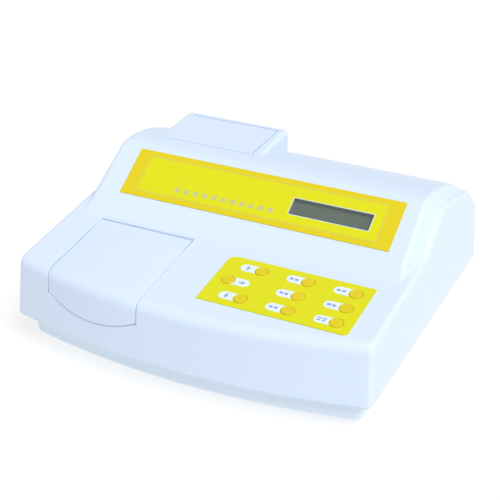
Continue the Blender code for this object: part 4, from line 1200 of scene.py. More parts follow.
def seal_pad():
    """The foam disc that closes the well, with rounded rims and a glued-on collar."""
    _low, _high, centre, radius = extent("light_seal_pad")
    half, rim = 0.0025, 0.0014
    profile = [(0.0, -half), (0.55 * radius, -half - 0.0001), (0.86 * radius, -half)]
    profile += arc((radius - rim, rim - half), rim, -80, 0)
    profile += [(radius * 0.985, 0.0), (radius, 0.0006), (radius, half - 0.0003), (radius * 0.97, half),
                (0.0, half)]
    pad = sloping(turned("foam_pad", profile, 96), centre, DECK_SLOPE)
    dress(pad, "foam", "light_seal_pad", body="lid", angle=40)


def hatch_ring(axis):
    front = back(HATCH_FRONT) - LID_GAP / 2
    high = up(BOX_TOP) - (BOX_BACK - HATCH_FRONT) * tan(BOX_TILT) + LID_PROUD
    low = high - LID_PROUD - LID_THICKNESS
    barrel = barrel_points(axis, BOX_TILT)
    top = [between(barrel[-1], (front, high), share) for share in spread(0.0, 1.0, 8)[1:-1]]
    return [*top, (front, high), (front, low), *barrel]


def rear_hatch(looks):
    axis = cover_axis("hatch_hinge")
    ring = hatch_ring(axis)
    hatch = along_x("hatch_cover", [(x, ring) for x in spread(HATCH_X0, HATCH_X1, 12)])
    bevel_edges(hatch, looks.cover_rounding, 3)
    bored(hatch, axis)
    dress(hatch, "cover", "rear_hatch", body="hatch", angle=32)


def hinge_pin(node, axis):
    low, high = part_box(node)
    radius = (high.z - low.z) / 2
    crown = radius * 0.35
    profile = [(0.0, low.x), (radius - crown, low.x), (radius, low.x + crown), (radius, high.x - crown),
               (radius - crown, high.x), (0.0, high.x)]
    dress(turned(f"{node}_rod", profile, 32, (0, *axis), "X"), "steel", node, angle=40)


def hinge_bracket(node, axis, slope):
    """A moulded saddle with a notch that the pin snaps into."""
    low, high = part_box(node)
    half = BARREL_RADIUS - WALL / 2
    top = BARREL_RADIUS - LID_PROUD - WALL - GAP
    corners = [(-half, top), (half, top), (half, -2 * half), (-half, -2 * half)]
    points = [(axis[0] + a * cos(slope) - b * sin(slope), axis[1] + a * sin(slope) + b * cos(slope))
              for a, b in corners]
    saddle = along_x(f"{node}_saddle", [(low.x, points), (high.x, points)])
    bevel_edges(saddle, 0.0004, 2, lambda edge: sharp(edge) and middle_of(edge).z < axis[1])
    drill(saddle, PIN_BORE, low.x - WALL, high.x + WALL, 32, (0, *axis), "X")
    dress(saddle, "black", node, angle=32)


def hinge(name, slope):
    axis = cover_axis(f"{name}_hinge")
    hinge_pin(f"{name}_hinge_pin", axis)
    for side in ("left", "right"):
        hinge_bracket(f"{name}_bracket_{side}", axis, slope)


class TESTER_OT_lid(bpy.types.Operator):
    """Make the sample compartment's lid with its foam seal and its hinge"""
    bl_idname = "tester.lid"
    bl_label = "Sample lid"

    def execute(self, context):
        sample_lid(context.scene.tester_case)
        seal_pad()
        hinge("lid", DECK_SLOPE)
        return {"FINISHED"}


class TESTER_OT_hatch(bpy.types.Operator):
    """Make the lamp hatch on the raised box and its hinge"""
    bl_idname = "tester.hatch"
    bl_label = "Lamp hatch"

    def execute(self, context):
        rear_hatch(context.scene.tester_case)
        hinge("hatch", BOX_TILT)
        return {"FINISHED"}


# ---------------------------------------------------------------- display
FILM_LIFT = 0.00002
LABEL_THICKNESS = 0.0005
WINDOW_THICKNESS = 0.0022
WINDOW_HEIGHT = 0.0177
CAPTION_COUNT = 11
CAPTION_PITCH = 0.0100
CAPTION_X0 = -0.0795
CAPTION_UP = 0.0156
INK = 0.00004                       # thickness of one printed layer
LINE_IN = 0.0006
WINDOW_RIM = 0.0009
GLASS_IN = 0.0052


def film_frame(node, thickness, slope):
    """Centre of a film's underside, its half width and half length, and its top."""
    low, high, centre, half_x = extent(node)
    half_y = ((high.y - low.y) - thickness * sin(slope)) / cos(slope) / 2
    lift = GAP + thickness / 2
    return centre - Vector((0, -sin(slope), cos(slope))) * lift, half_x, half_y, GAP + thickness


FACE, FACE_X, FACE_Y, FACE_LIFT = film_frame("display_label", LABEL_THICKNESS, DISPLAY_SLOPE)
WINDOW_OFF = middle("lcd_window") - FACE
WINDOW_AT = (WINDOW_OFF.x, WINDOW_OFF.y * cos(DISPLAY_SLOPE) + WINDOW_OFF.z * sin(DISPLAY_SLOPE))
WINDOW_X, WINDOW_Y = extent("lcd_window")[3], WINDOW_HEIGHT / 2


def film(name, half_x, half_y, low, high, x=0.0, y=0.0, corner=0.0006, soft=0.0):
    return settle(plate(name, half_x, half_y, low, high, corner, soft, 4), (x, y, 0))


def on_face(piece, look, *nodes):
    """Put a piece that was modelled flat onto the display face, and finish it."""
    dress(sloping(piece, FACE, DISPLAY_SLOPE), look, *nodes, angle=32)


def display_films(looks):
    """The border film, the field printed on it, the thin line round it and the window's pale edge."""
    field_x, field_y = FACE_X - looks.border_ends, FACE_Y - looks.border_sides
    line_x, line_y = field_x - LINE_IN, field_y - LINE_IN
    width = looks.line_width
    border = film("display_border", FACE_X, FACE_Y, FILM_LIFT, FACE_LIFT - 2 * INK, soft=0.00015)
    field = film("display_field", field_x, field_y, FACE_LIFT - 0.0002, FACE_LIFT - INK)
    line = film("display_line", line_x, line_y, FACE_LIFT - 0.00015, FACE_LIFT)
    combine(line, film("inside", line_x - width, line_y - width, 0, WALL, corner=0.0004))
    surround = film("display_surround", WINDOW_X + WINDOW_RIM, WINDOW_Y + WINDOW_RIM,
                    FACE_LIFT - 0.00015, FACE_LIFT + INK, *WINDOW_AT, 0.0012)
    for piece in (border, field, surround):
        combine(piece, film("window_cut", WINDOW_X + GAP, WINDOW_Y + GAP, -WALL, WALL, *WINDOW_AT, 0.0008))
    for piece, look in ((border, "border"), (field, "field"), (line, "line"), (surround, "white")):
        on_face(piece, look, "display_label")


def caption_marks():
    """A row of plain marks where captions would be."""
    places = [(CAPTION_X0 + n * CAPTION_PITCH - FACE.x, CAPTION_UP - FACE_Y, 0)
              for n in range(CAPTION_COUNT)]
    rows = [film(f"caption_{name}", half_x, half_y, FACE_LIFT - 0.0001, FACE_LIFT, y=y, corner=0.0004)
            for name, half_x, half_y, y in (("marks", 0.0027, 0.0009, 0.0015),
                                            ("lower", 0.0034, 0.0008, -0.0013))]
    on_face(join([copies(row, places) for row in rows]), "caption")


def display_window():
    on_face(film("display_pane", WINDOW_X, WINDOW_Y, FACE_LIFT - WINDOW_THICKNESS, FACE_LIFT - GAP,
                 *WINDOW_AT, 0.0007, 0.00025), "window", "lcd_window")


def display_module():
    """A framed display: a steel bezel with an opening for its glass."""
    half_x = extent("lcd_module")[3]
    half_y = WINDOW_Y + half_x - WINDOW_X
    face = -WALL - GAP
    bezel = film("display_bezel", half_x, half_y, face - 0.0078, face, *WINDOW_AT, 0.0012, 0.0006)
    combine(bezel, film("glass_opening", half_x - GLASS_IN, half_y - GLASS_IN, face - 0.0012, face + WALL,
                        *WINDOW_AT, 0.0008))
    soften_above(bezel, 0.0003, face - 1e-5)
    glass_x, glass_y = half_x - GLASS_IN - 0.0002, half_y - GLASS_IN - 0.0002
    glass = film("display_glass", glass_x, glass_y, face - 0.0014, face - 0.0004, *WINDOW_AT, 0.0006, 0.0001)
    on_face(bezel, "frame", "lcd_module")
    on_face(glass, "crystal", "lcd_module")


class TESTER_OT_display(bpy.types.Operator):
    """Make the printed film on the display face, its window and the display behind it"""
    bl_idname = "tester.display"
    bl_label = "Display"

    def execute(self, context):
        display_films(context.scene.tester_print)
        caption_marks()
        display_window()
        display_module()
        repaint("display_board", "board")
        return {"FINISHED"}


# ---------------------------------------------------------------- keypad
OVERLAY_THICKNESS = 0.0006
KEY_HOLE = 0.0066
TAB_HALF_HEIGHT = 0.0054
TAB_REACH = 0.0210
TAB_GAP = 0.0003
OTHER_SIDE = 3                      # this key's tab stands on its right
TWO_ROWS = 8                        # this key's tab has two rows of dashes
ARROW_TURNS = {0: 0.0, OTHER_SIDE: -pi / 2, 6: pi}
PAD_CORNERS = ((0.0080, -1, 1), (0.0050, 1, -1), (0.0008, 1, 1), (0.0008, -1, -1))


PAD, PAD_X, PAD_Y, PAD_LIFT = film_frame("keypad_overlay", OVERLAY_THICKNESS, DECK_SLOPE)
KEY_PLACES = [((x - PAD.x), (y - PAD.y) / cos(DECK_SLOPE)) for x, y, _z in map(key_place, KEY_NODES)]


def on_pad(piece, look, *nodes):
    """Put a piece that was modelled flat onto the keypad, and finish it."""
    dress(sloping(piece, PAD, DECK_SLOPE), look, *nodes, angle=32)


def keypad_film():
    pad = centred_slab("keypad_film", PAD_X, PAD_Y, FILM_LIFT, PAD_LIFT)
    for radius, side_x, side_y in PAD_CORNERS:
        corner = Vector((side_x * PAD_X, side_y * PAD_Y))
        bevel_edges(pad, radius, 10,
                    lambda edge: upright(edge) and (middle_of(edge).xy - corner).length < 1e-5)
    soften_above(pad, 0.0002, PAD_LIFT - 1e-5)
    for x, y in KEY_PLACES:
        drill(pad, KEY_HOLE, -WALL, WALL, 64, (x, y, 0))
    on_pad(pad, "field", "keypad_overlay")


def key_tabs():
    tabs = []
    for number, (x, y) in enumerate(KEY_PLACES):
        side = 1 if number == OTHER_SIDE else -1
        tab = centred_slab(f"tab_{number}", TAB_REACH / 2, TAB_HALF_HEIGHT, PAD_LIFT - 0.0001,
                           PAD_LIFT + 0.00006)
        bevel_edges(tab, TAB_HALF_HEIGHT * 0.98, 10,
                    lambda edge: upright(edge) and side * middle_of(edge).x > 0)
        settle(tab, (x + side * TAB_REACH / 2, y, 0))
        tabs.append(drill(tab, KEY_HOLE + TAB_GAP, -WALL, WALL, 64, (x, y, 0)))
    on_pad(join(tabs, "key_tabs"), "white")


def key_marks():
    """Arrows on three tabs and plain dashes on the others."""
    low, high = PAD_LIFT - 0.0001, PAD_LIFT + 0.00010
    marks = []
    for number, (x, y) in enumerate(KEY_PLACES):
        side = 1 if number == OTHER_SIDE else -1
        place = x + side * (TAB_REACH + KEY_HOLE) / 2
        if number in ARROW_TURNS:
            head = settle(triangle(f"arrow_{number}", 0.0025, low, high), (0, 0.0009, 0))
            arrow = join([head, film("shaft", 0.0007, 0.0016, low, high, 0.0, -0.0016, 0.0002)])
            marks.append(settle(arrow, (place, y, 0), (0, 0, ARROW_TURNS[number])))
            continue
        rows, tall = ((0.0015, -0.0015), 0.0008) if number == TWO_ROWS else ((0.0,), 0.0014)
        marks += [film(f"dash_{number}", 0.0017, tall, low, high, place + step * 0.0024, y + row, 0.0004)
                  for row in rows for step in (-1, 1)]
    on_pad(join(marks, "key_marks"), "mark")


def key_cap(node):
    """A domed key with a fine ring pressed round its top, on a flanged stem."""
    flange = 0.0073
    profile = [(0.0, -0.0046), (0.0022, -0.0046), (0.0025, -0.0043), (0.0025, -0.0015),
               (flange, -0.0015), (flange, -0.0001), (KEY_RADIUS, 0.0)]
    profile += arc((KEY_RADIUS - 0.0003, 0.0010), 0.0003, 0, 80, 4)
    profile += [(0.0056, 0.00128), (0.0055, 0.00118), (0.0053, 0.00118), (0.0052, 0.00128)]
    profile += [(0.0052 * share, 0.00128 + 0.00012 * (1 - share * share)) for share in (0.85, 0.6, 0.3)]
    profile.append((0.0, 0.0014))
    key = turned(f"{node}_cap", profile, 64)
    sloping(key, key_place(node), DECK_SLOPE)
    dress(key, "key", node, body=f"{node}_cap")


class TESTER_OT_keypad(bpy.types.Operator):
    """Make the keypad's film, its name tabs and marks, the nine keys and the board under them"""
    bl_idname = "tester.keypad"
    bl_label = "Keypad"

    def execute(self, context):
        keypad_film()
        key_tabs()
        key_marks()
        for node in KEY_NODES:
            key_cap(node)
        repaint("keypad_board", "board")
        return {"FINISHED"}


# ---------------------------------------------------------------- base
SCREW_RADIUS = 0.0015
SCREW_HOLE = (SCREW_RADIUS + GAP, SCREW_RADIUS + GAP + 0.0004)      # radius, and at its mouth
FOOT_HOLE = (0.0033, 0.0042)
FOOT_NODES = [f"rubber_foot_{number}" for number in range(1, 5)]
SCREW_NODES = [f"case_screw_{number}" for number in range(1, 5)]


def base_shell():
    """The tray with rounded edges, a shadow groove, holes for screws and feet, and a blank recess."""
    high = PARTING_Z - GAP
    tray = merge_flats(along_x("base_shell", base_stations(0.0, FOOT_HEIGHT, high)))
    groove = along_x("groove", base_stations(-0.0010, high - 0.0034, high - 0.0024))
    combine(groove, along_x("groove_inside", base_stations(0.0008, high - 0.0050, high)))
    combine(tray, groove)
    combine(tray, along_x("base_inside", base_stations(WALL, FOOT_HEIGHT + BASE_FLOOR, high + WALL)))
    top = FOOT_HEIGHT + BASE_FLOOR + 0.010 - GAP
    board_low, board_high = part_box("main_board")
    for x in (board_low.x + 0.006, board_high.x - 0.006):
        for y in (board_low.y + 0.006, board_high.y - 0.006):
            post = turned("post", [(0.0036, FOOT_HEIGHT + 0.001), (0.0030, top - 0.0004), (0.0026, top)],
                          32, (x, y, 0))
            combine(tray, post, "UNION")
    for node in SCREW_NODES + FOOT_NODES:
        centre = middle(node)
        radius, flare = FOOT_HOLE if node in FOOT_NODES else SCREW_HOLE
        hole = [(flare, FOOT_HEIGHT - WALL), (flare, FOOT_HEIGHT), (radius, FOOT_HEIGHT + 0.0006),
                (radius, FOOT_HEIGHT + 2 * WALL)]
        combine(tray, turned("hole", hole, 40, (centre.x, centre.y, 0)))
    recess = plate("recess", 0.040, 0.022, FOOT_HEIGHT - WALL, FOOT_HEIGHT + 0.0006, 0.003)
    combine(tray, settle(recess, (0.0, -0.020, 0.0)))
    # the base finish is the case's plastic painted lighter, painted light against the shade under the case's
    # lip
    dress(soften_above(tray, 0.0004, PARTING_Z - 0.0005, convex=True), "base", "base_tray")


def rubber_foot(node):
    """A moulded foot with grip rings underneath and a plug through the floor."""
    _low, high, centre, radius = extent(node)
    under = FOOT_HEIGHT - GAP
    profile = [(0.0, 0.0012), (radius * 0.25, 0.0012), (radius * 0.30, 0.0002), (radius * 0.42, 0.0002),
               (radius * 0.47, 0.0010), (radius * 0.58, 0.0010), (radius * 0.63, 0.0), (radius * 0.80, 0.0)]
    profile += arc((radius * 0.82, 0.0008), 0.0008, -80, 0, 5)
    profile += [(radius, under - 0.0006), (radius - 0.0006, under), (0.0030, under),
                (0.0030, high.z - 0.0006), (0.0024, high.z), (0.0, high.z)]
    dress(turned(f"{node}_pad", profile, 64, (centre.x, centre.y, 0)), "rubber", node, angle=35)


def cross_slots(width, length, low, high):
    first = centred_slab("cross_slot", length, width, low, high)
    return combine(first, centred_slab("cross_slot_2", width, length, low, high), "UNION")


def case_screw(node):
    """A pan-head screw with a cross recess and a threaded shank."""
    low, high, centre, head = extent(node)
    under, start = FOOT_HEIGHT - GAP, low.z
    profile = [(0.0, start), (head * 0.55, start + 0.0001), (head * 0.86, start + 0.0005),
               (head, start + 0.0011), (head, under - 0.0001), (head - 0.0001, under),
               (SCREW_RADIUS * 0.8, under)]
    height = under + 0.0010
    while height < high.z - 0.0020:
        profile += [(SCREW_RADIUS * 0.8, height), (SCREW_RADIUS, height + 0.00025)]
        height += 0.0005
    profile += [(SCREW_RADIUS * 0.8, high.z - 0.0015), (0.0, high.z)]
    screw = turned(f"{node}_turned", profile, 40)
    combine(screw, cross_slots(0.00035, 0.0019, start - 0.001, start + 0.0011))
    dress(settle(screw, (centre.x, centre.y, 0)), "steel", node)


class TESTER_OT_base(bpy.types.Operator):
    """Make the base tray with its rubber feet and the screws that hold the case together"""
    bl_idname = "tester.base"
    bl_label = "Base"

    def execute(self, context):
        base_shell()
        for node in FOOT_NODES:
            rubber_foot(node)
        for node in SCREW_NODES:
            case_screw(node)
        return {"FINISHED"}


# ---------------------------------------------------------------- sample compartment
WELL_Y = 0.038
WELL_RADIUS = 0.0133
WELL_WALL = 0.003
WELL_BOTTOM = -0.014
POCKET_FLOOR = 0.020
POCKET_WALL = 0.0025
POCKET_LIP = 0.030
POCKET_BACK = 0.0765
BEAM_HEIGHT = up(-0.001)
BEAM_HOLE = 0.004


def compartment_liner():
    """The dark liner: a pocket with round corners, and the well with its raised mouth."""
    x0, x1 = LID_X0 - GAP, LID_X1 + GAP
    liner = slab("compartment_liner", (x0, -REAR_Y, up(POCKET_FLOOR - WALL)),
                 (x1, back(POCKET_BACK), up(CREST_HEIGHT)))
    limit = along_x("liner_limit", case_stations(WALL + GAP), narrow=True)
    combine(liner, limit, "INTERSECT")
    pocket = []
    for x in spread(x0 + POCKET_WALL, x1 - POCKET_WALL, 12):
        front = front_y(x, up(FRONT_HEIGHT)) + WALL + GAP + POCKET_WALL
        rear = back(POCKET_BACK) - POCKET_WALL
        floor = up(POCKET_FLOOR)
        corners = [(front, floor, 0.003, 8), (front, up(CREST_HEIGHT), NEAR_ZERO, 1),
                   (rear, up(CREST_HEIGHT), NEAR_ZERO, 1), (rear, floor, 0.003, 8)]
        pocket.append((x, rounded(corners)))
    combine(liner, along_x("pocket", pocket))
    combine(liner, slab("pocket_front", (x0 + POCKET_WALL, -REAR_Y, up(POCKET_LIP)),
                        (x1 - POCKET_WALL, back(0), up(CREST_HEIGHT))))
    soften_above(liner, 0.0005, up(POCKET_LIP) - 0.0002, convex=True)
    centre = (LID_CENTRE, back(WELL_Y), 0)
    outer = WELL_RADIUS + WELL_WALL
    floor = up(POCKET_FLOOR)
    body = [(0.0, up(WELL_BOTTOM) - WELL_WALL), (outer - 0.001, up(WELL_BOTTOM) - WELL_WALL),
            (outer, up(WELL_BOTTOM) - WELL_WALL + 0.001), (outer, floor - 0.0015), (0.0, floor - 0.0015)]
    combine(liner, turned("well_body", body, 96, centre), "UNION")
    ring = [(0.0, floor - 0.001), (outer + 0.0022, floor - 0.001), (outer + 0.0022, floor + 0.0009),
            (outer + 0.0017, floor + 0.0014), (0.0, floor + 0.0014)]
    combine(liner, turned("well_ring", ring, 96, centre), "UNION")
    bore = [(0.0, up(WELL_BOTTOM)), (WELL_RADIUS, up(WELL_BOTTOM)), (WELL_RADIUS, floor - 0.0004),
            (WELL_RADIUS + 0.0018, floor + 0.0014), (WELL_RADIUS + 0.0018, floor + 2 * WALL),
            (0.0, floor + 2 * WALL)]
    combine(liner, turned("well_bore", bore, 96, centre))
    for axis in "YX":
        drill(liner, BEAM_HOLE, 0.0, 2 * WELL_RADIUS, 40, (LID_CENTRE, back(WELL_Y), BEAM_HEIGHT), axis)
    dress(liner, "liner", "sample_compartment")


def index_mark():
    """The white triangle on the pocket's floor that shows how a vial is turned."""
    mark = triangle("index_mark", 0.0026, 0.0, 0.00012)
    settle(mark, (LID_CENTRE, back(WELL_Y) - WELL_RADIUS - WELL_WALL - 0.0055, up(POCKET_FLOOR)))
    dress(mark, "white", angle=32)


class TESTER_OT_compartment(bpy.types.Operator):
    """Make the sample compartment with the well that holds a vial"""
    bl_idname = "tester.compartment"
    bl_label = "Sample compartment"

    def execute(self, context):
        compartment_liner()
        index_mark()
        return {"FINISHED"}


# ---------------------------------------------------------------- optics
BAY_WALL = 0.002
TUBE_WALL = 0.002


def lamp_bay():
    """The lamp's well under the hatch, with a beam window and cooling slots in its sides."""
    low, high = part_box("lamp_bay")
    bay = slab("lamp_bay_shell", low, high)
    bevel_edges(bay, 0.0020, 4, upright)
    inside = slab("bay_inside", (low.x + BAY_WALL, low.y + BAY_WALL, low.z + BAY_WALL),
                  (high.x - BAY_WALL, high.y - BAY_WALL, high.z + WALL))
    bevel_edges(inside, 0.0012, 4, upright)
    combine(bay, inside)
    drill(bay, BEAM_HOLE, -WALL, 2 * WALL, 40, (LID_CENTRE, low.y, BEAM_HEIGHT), "Y")
    for n in range(5):
        y = low.y + 0.014 + n * 0.010
        combine(bay, slab("slot", (low.x - WALL, y, high.z - 0.030),
                          (high.x + WALL, y + 0.003, high.z - 0.010)))
    dress(soften_above(bay, 0.0005, high.z - 0.0002, convex=True), "black", "lamp_bay")


def lamp_socket():
    """A ceramic holder with cooling grooves."""
    low, high, centre, radius = extent("lamp_socket")
    profile = [(0.0, low.z), (radius - 0.0006, low.z), (radius, low.z + 0.0006)]
    height = low.z + 0.003
    while height < high.z - 0.004:
        profile += [(radius, height), (radius - 0.0008, height + 0.0004),
                    (radius - 0.0008, height + 0.0014), (radius, height + 0.0018)]
        height += 0.0035
    profile += [(radius, high.z - 0.0008), (radius - 0.0008, high.z), (0.0, high.z)]
    dress(turned("lamp_holder", profile, 64, (centre.x, centre.y, 0)), "ceramic", "lamp_socket")


def lamp_bulb():
    """A halogen capsule: glass with a drawn tip, two supports and a coiled filament."""
    low, high, centre, radius = extent("lamp_bulb")
    top = high.z - radius * 1.6
    profile = [(0.0, low.z), (radius * 0.62, low.z), (radius * 0.70, low.z + 0.0010),
               (radius * 0.92, low.z + radius), (radius, low.z + radius * 1.3)]
    profile += [(radius * cos(turn), top + radius * 1.25 * sin(turn)) for turn in spread(0, 1.25, 10)]
    profile += [(radius * 0.16, high.z - 0.0004), (0.0, high.z)]
    dress(turned("bulb_glass", profile, 64, (centre.x, centre.y, 0)), "bulb", "lamp_bulb", angle=40)
    parts = []
    for side in (-1, 1):
        wire = [(0.0, low.z + 0.0004), (0.00025, low.z + 0.0004), (0.00025, BEAM_HEIGHT), (0.0, BEAM_HEIGHT)]
        parts.append(turned(f"support_{side}", wire, 12, (centre.x + side * 0.0020, centre.y, 0)))
    for n in range(9):
        x = centre.x - 0.0018 + n * 0.00045
        bpy.ops.mesh.primitive_torus_add(location=(x, centre.y, BEAM_HEIGHT), rotation=(0, pi / 2 - 0.2, 0),
                                         major_radius=0.00055, minor_radius=0.0001, major_segments=20,
                                         minor_segments=6)
        parts.append(bake_place(named(f"coil_{n}")))
    dress(join(parts, "filament"), "tungsten", angle=60)


def light_tube():
    low, high, _centre, radius = extent("light_tube")
    start, end, place = low.y, high.y, (LID_CENTRE, 0, BEAM_HEIGHT)
    profile = [(0.0, start), (radius - 0.0005, start), (radius, start + 0.0005), (radius, end - 0.0005),
               (radius - 0.0005, end), (0.0, end)]
    tube = turned("beam_tube", profile, 64, place, "Y")
    drill(tube, radius - TUBE_WALL, start - WALL, end + WALL, 64, place, "Y")
    dress(tube, "black", "light_tube")


def condenser_lens():
    """A ground lens with two spherical faces and a narrow edge."""
    low, high, centre, radius = extent("condenser_lens")
    half = (high.y - low.y) / 2
    edge = half * 0.25
    side = [(radius * share, half - (half - edge) * share * share) for share in spread(0.0, 1.0, 10)]
    profile = [(r, -h) for r, h in side] + [(r, h) for r, h in reversed(side)]
    dress(turned("beam_lens", profile, 64, centre, "Y"), "lens", "condenser_lens", angle=50)


def detector():
    """The detector's screened can with the hole that the light comes in by."""
    low, high, centre, _half = extent("detector_block")
    can = bevel_edges(slab("detector_can", low, high), 0.0015, 4)
    drill(can, BEAM_HOLE, -WALL, WALL, 40, (low.x, centre.y, centre.z), "X")
    dress(can, "black", "detector_block")


class TESTER_OT_optics(bpy.types.Operator):
    """Make the lamp with its bay, the beam's tube and lens, and the detector"""
    bl_idname = "tester.optics"
    bl_label = "Optics"

    def execute(self, context):
        lamp_bay()
        lamp_socket()
        lamp_bulb()
        light_tube()
        condenser_lens()
        detector()
        return {"FINISHED"}


# ---------------------------------------------------------------- rear panel
PANEL_FACE = REAR_Y - WALL - GAP
PANEL_THICKNESS = 0.002
INLET_HALF = (0.0135, 0.0100)
SWITCH_HALF = (0.0075, 0.01075)
SWITCH_HOLE = (0.0059, 0.0092)
PORT_HALF = (0.0085, 0.0045)
FUSE_RADIUS = 0.0062
VENTS, VENTS_X = 7, -0.032
SCREW_IN = 0.005
PORT_PITCH = 0.00277


def across(name, half_x, half_z, y0, y1, x, z, corner=0.0008, soft=0.0):
    """A plate that lies across Y, with its softened side to the back."""
    return facing_back(plate(name, half_x, half_z, y0, y1, corner, soft, 4), x, 0, z)


def on_panel(node):
    """How deep a fitting reaches, and its place on the panel."""
    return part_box(node)[0].y, middle(node).x, middle("rear_panel").z


def rear_panel():
    low, high, centre, half_x = extent("rear_panel")
    panel = across("panel_sheet", half_x, (high.z - low.z) / 2, low.y, high.y, centre.x, centre.z, 0.003)
    for node, half in (("mains_inlet", INLET_HALF), ("switch_body", SWITCH_HALF),
                       ("signal_connector", PORT_HALF)):
        combine(panel, across("hole", half[0] + GAP, half[1] + GAP, low.y - WALL, REAR_Y + WALL,
                              middle(node).x, centre.z))
    drill(panel, FUSE_RADIUS + GAP, -0.01, 0.01, 48, (middle("fuse_holder").x, PANEL_FACE, centre.z), "Y")
    for n in range(VENTS):
        combine(panel, across("vent", 0.00125, 0.012, low.y - WALL, REAR_Y + WALL,
                              VENTS_X + (n - (VENTS - 1) / 2) * 0.006, centre.z, 0.0011))
    dress(soften_above(panel, 0.0003, high.y - 1e-5, axis="y"), "panel", "rear_panel")


def panel_screws():
    """Four small screws in the panel's corners."""
    head = [(0.0, -0.0030), (0.0012, -0.0030), (0.0012, 0.0), (0.0026, 0.0), (0.0026, 0.0006),
            (0.0018, 0.0013), (0.0, 0.0015)]
    screw = turned("panel_screws", head, 40)
    combine(screw, cross_slots(0.0003, 0.0014, 0.0006, 0.003))
    places = [(x, PANEL_FACE, z) for x in (PANEL_X0 + SCREW_IN, PANEL_X1 - SCREW_IN)
              for z in (PANEL_Z0 + SCREW_IN, PANEL_Z1 - SCREW_IN)]
    dress(copies(facing_back(screw, 0, 0, 0), places), "steel")


def mains_inlet():
    """An appliance inlet: a rimmed well with round corners and three contact pins."""
    low, x, z = on_panel("mains_inlet")
    body = across("inlet_body", *INLET_HALF, low, PANEL_FACE, x, z, 0.0030, 0.0005)
    rim = across("inlet_rim", INLET_HALF[0] + 0.003, INLET_HALF[1] + 0.003,
                 PANEL_FACE - PANEL_THICKNESS - GAP - WALL, PANEL_FACE - PANEL_THICKNESS - GAP, x, z, 0.0015)
    combine(body, rim, "UNION")
    combine(body, across("inlet_well", 0.0120, 0.00825, PANEL_FACE - 0.022, PANEL_FACE + WALL, x, z,
                         0.0035))
    dress(body, "black", "mains_inlet")
    pin = centred_slab("inlet_pins", 0.001, 0.002, PANEL_FACE - 0.0225, PANEL_FACE - 0.006)
    facing_back(soften_above(pin, 0.0004, PANEL_FACE - 0.0065, 3), x, 0, z)
    dress(copies(pin, [(-0.007, 0, -0.002), (0, 0, 0.002), (0.007, 0, -0.002)]), "brass")


def power_switch():
    low, x, z = on_panel("switch_body")
    body = across("switch_frame", *SWITCH_HALF, low, PANEL_FACE, x, z, 0.0012, 0.0005)
    combine(body, across("switch_well", *SWITCH_HOLE, low + WALL, PANEL_FACE + WALL, x, z, 0.0006))
    dress(body, "black", "switch_body")


def rocker():
    """The rocker with its hollowed faces and the two usual marks."""
    centre = joint_place("rocker_pivot")
    half, width, deep = SWITCH_HOLE[1] - 3 * GAP, SWITCH_HOLE[0] - 2 * GAP, 0.003
    shrink = cos(atan2(deep, half))
    face = [(deep * (0.55 + 0.45 * abs(share) ** 1.3), half * share) for share in spread(1, -1, 24)]
    points = [(y * shrink, z * shrink) for y, z in [(-deep, -half), (-deep, half), *face]]
    body = along_x("rocker_key", [(-width, points), (width, points)])
    bevel_edges(body, 0.0003, 2)
    stroke = centred_slab("rocker_marks", 0.0002, 0.0012, -0.0002, 0.00008)
    settle(stroke, (0, deep * 0.80 * shrink, half * 0.62), (-pi / 2 + 0.16, 0, 0))
    bpy.ops.mesh.primitive_torus_add(major_radius=0.0011, minor_radius=0.00018, major_segments=40,
                                     minor_segments=8)
    ring = settle(named("off_mark"), (0, deep * 0.80 * shrink, -half * 0.62), (-pi / 2 - 0.16, 0, 0))
    marks = join([stroke, ring])
    for piece in (body, marks):
        settle(piece, centre, (radians(-8.0), 0, 0))
    dress(body, "black", "power_rocker", body="rocker")
    dress(marks, "white", body="rocker", angle=40)


def fuse():
    low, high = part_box("fuse_holder")
    x, z = middle("fuse_holder").x, middle("rear_panel").z
    barrel = [(0.0, low.y), (FUSE_RADIUS - 0.001, low.y), (FUSE_RADIUS, low.y + 0.001),
              (FUSE_RADIUS, high.y), (0.0, high.y)]
    shell = turned("fuse_barrel", barrel, 64, (x, 0, z), "Y")
    drill(shell, 0.0052, low.y + WALL, high.y + WALL, 64, (x, 0, z), "Y")
    dress(shell, "black", "fuse_holder")
    low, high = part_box("fuse_carrier")
    stem, cap = 0.0047, (high.x - low.x) / 2
    profile = [(0.0, low.y), (stem - 0.0006, low.y), (stem, low.y + 0.0006), (stem, PANEL_FACE + GAP),
               (cap, PANEL_FACE + GAP), (cap, PANEL_FACE + 0.0015), (cap - 0.0004, PANEL_FACE + 0.0022),
               (cap * 0.78, high.y), (0.0, high.y)]
    carrier = turned("fuse_cap", profile, 64)
    combine(carrier, centred_slab("coin_slot", 0.0045, 0.0006, high.y - 0.0012, high.y + WALL))
    dress(facing_back(carrier, x, 0, z), "black", "fuse_carrier", body="fuse_drawer")


def signal_port():
    """A nine-way socket in a plated shell with its flange."""
    low, x, z = on_panel("signal_connector")
    shell = across("port_shell", *PORT_HALF, low, PANEL_FACE, x, z, 0.0016, 0.0005)
    flange = across("port_flange", 0.0154, 0.00625, low, PANEL_FACE - PANEL_THICKNESS - GAP, x, z, 0.0012)
    combine(shell, flange, "UNION")
    combine(shell, across("port_well", PORT_HALF[0] - 0.0007, PORT_HALF[1] - 0.0007, PANEL_FACE - 0.004,
                          PANEL_FACE + WALL, x, z, 0.0012))
    dress(shell, "steel", "signal_connector")
    insert = across("port_insert", PORT_HALF[0] - 0.0009, PORT_HALF[1] - 0.0009, PANEL_FACE - 0.0042,
                    PANEL_FACE - 0.0008, x, z, 0.0010, 0.0003)
    for row, count in ((0.0012, 5), (-0.0012, 4)):
        for n in range(count):
            drill(insert, 0.00045, -0.002, 0.002, 16,
                  (x + (n - (count - 1) / 2) * PORT_PITCH, PANEL_FACE - 0.0012, z + row), "Y")
    dress(insert, "black")


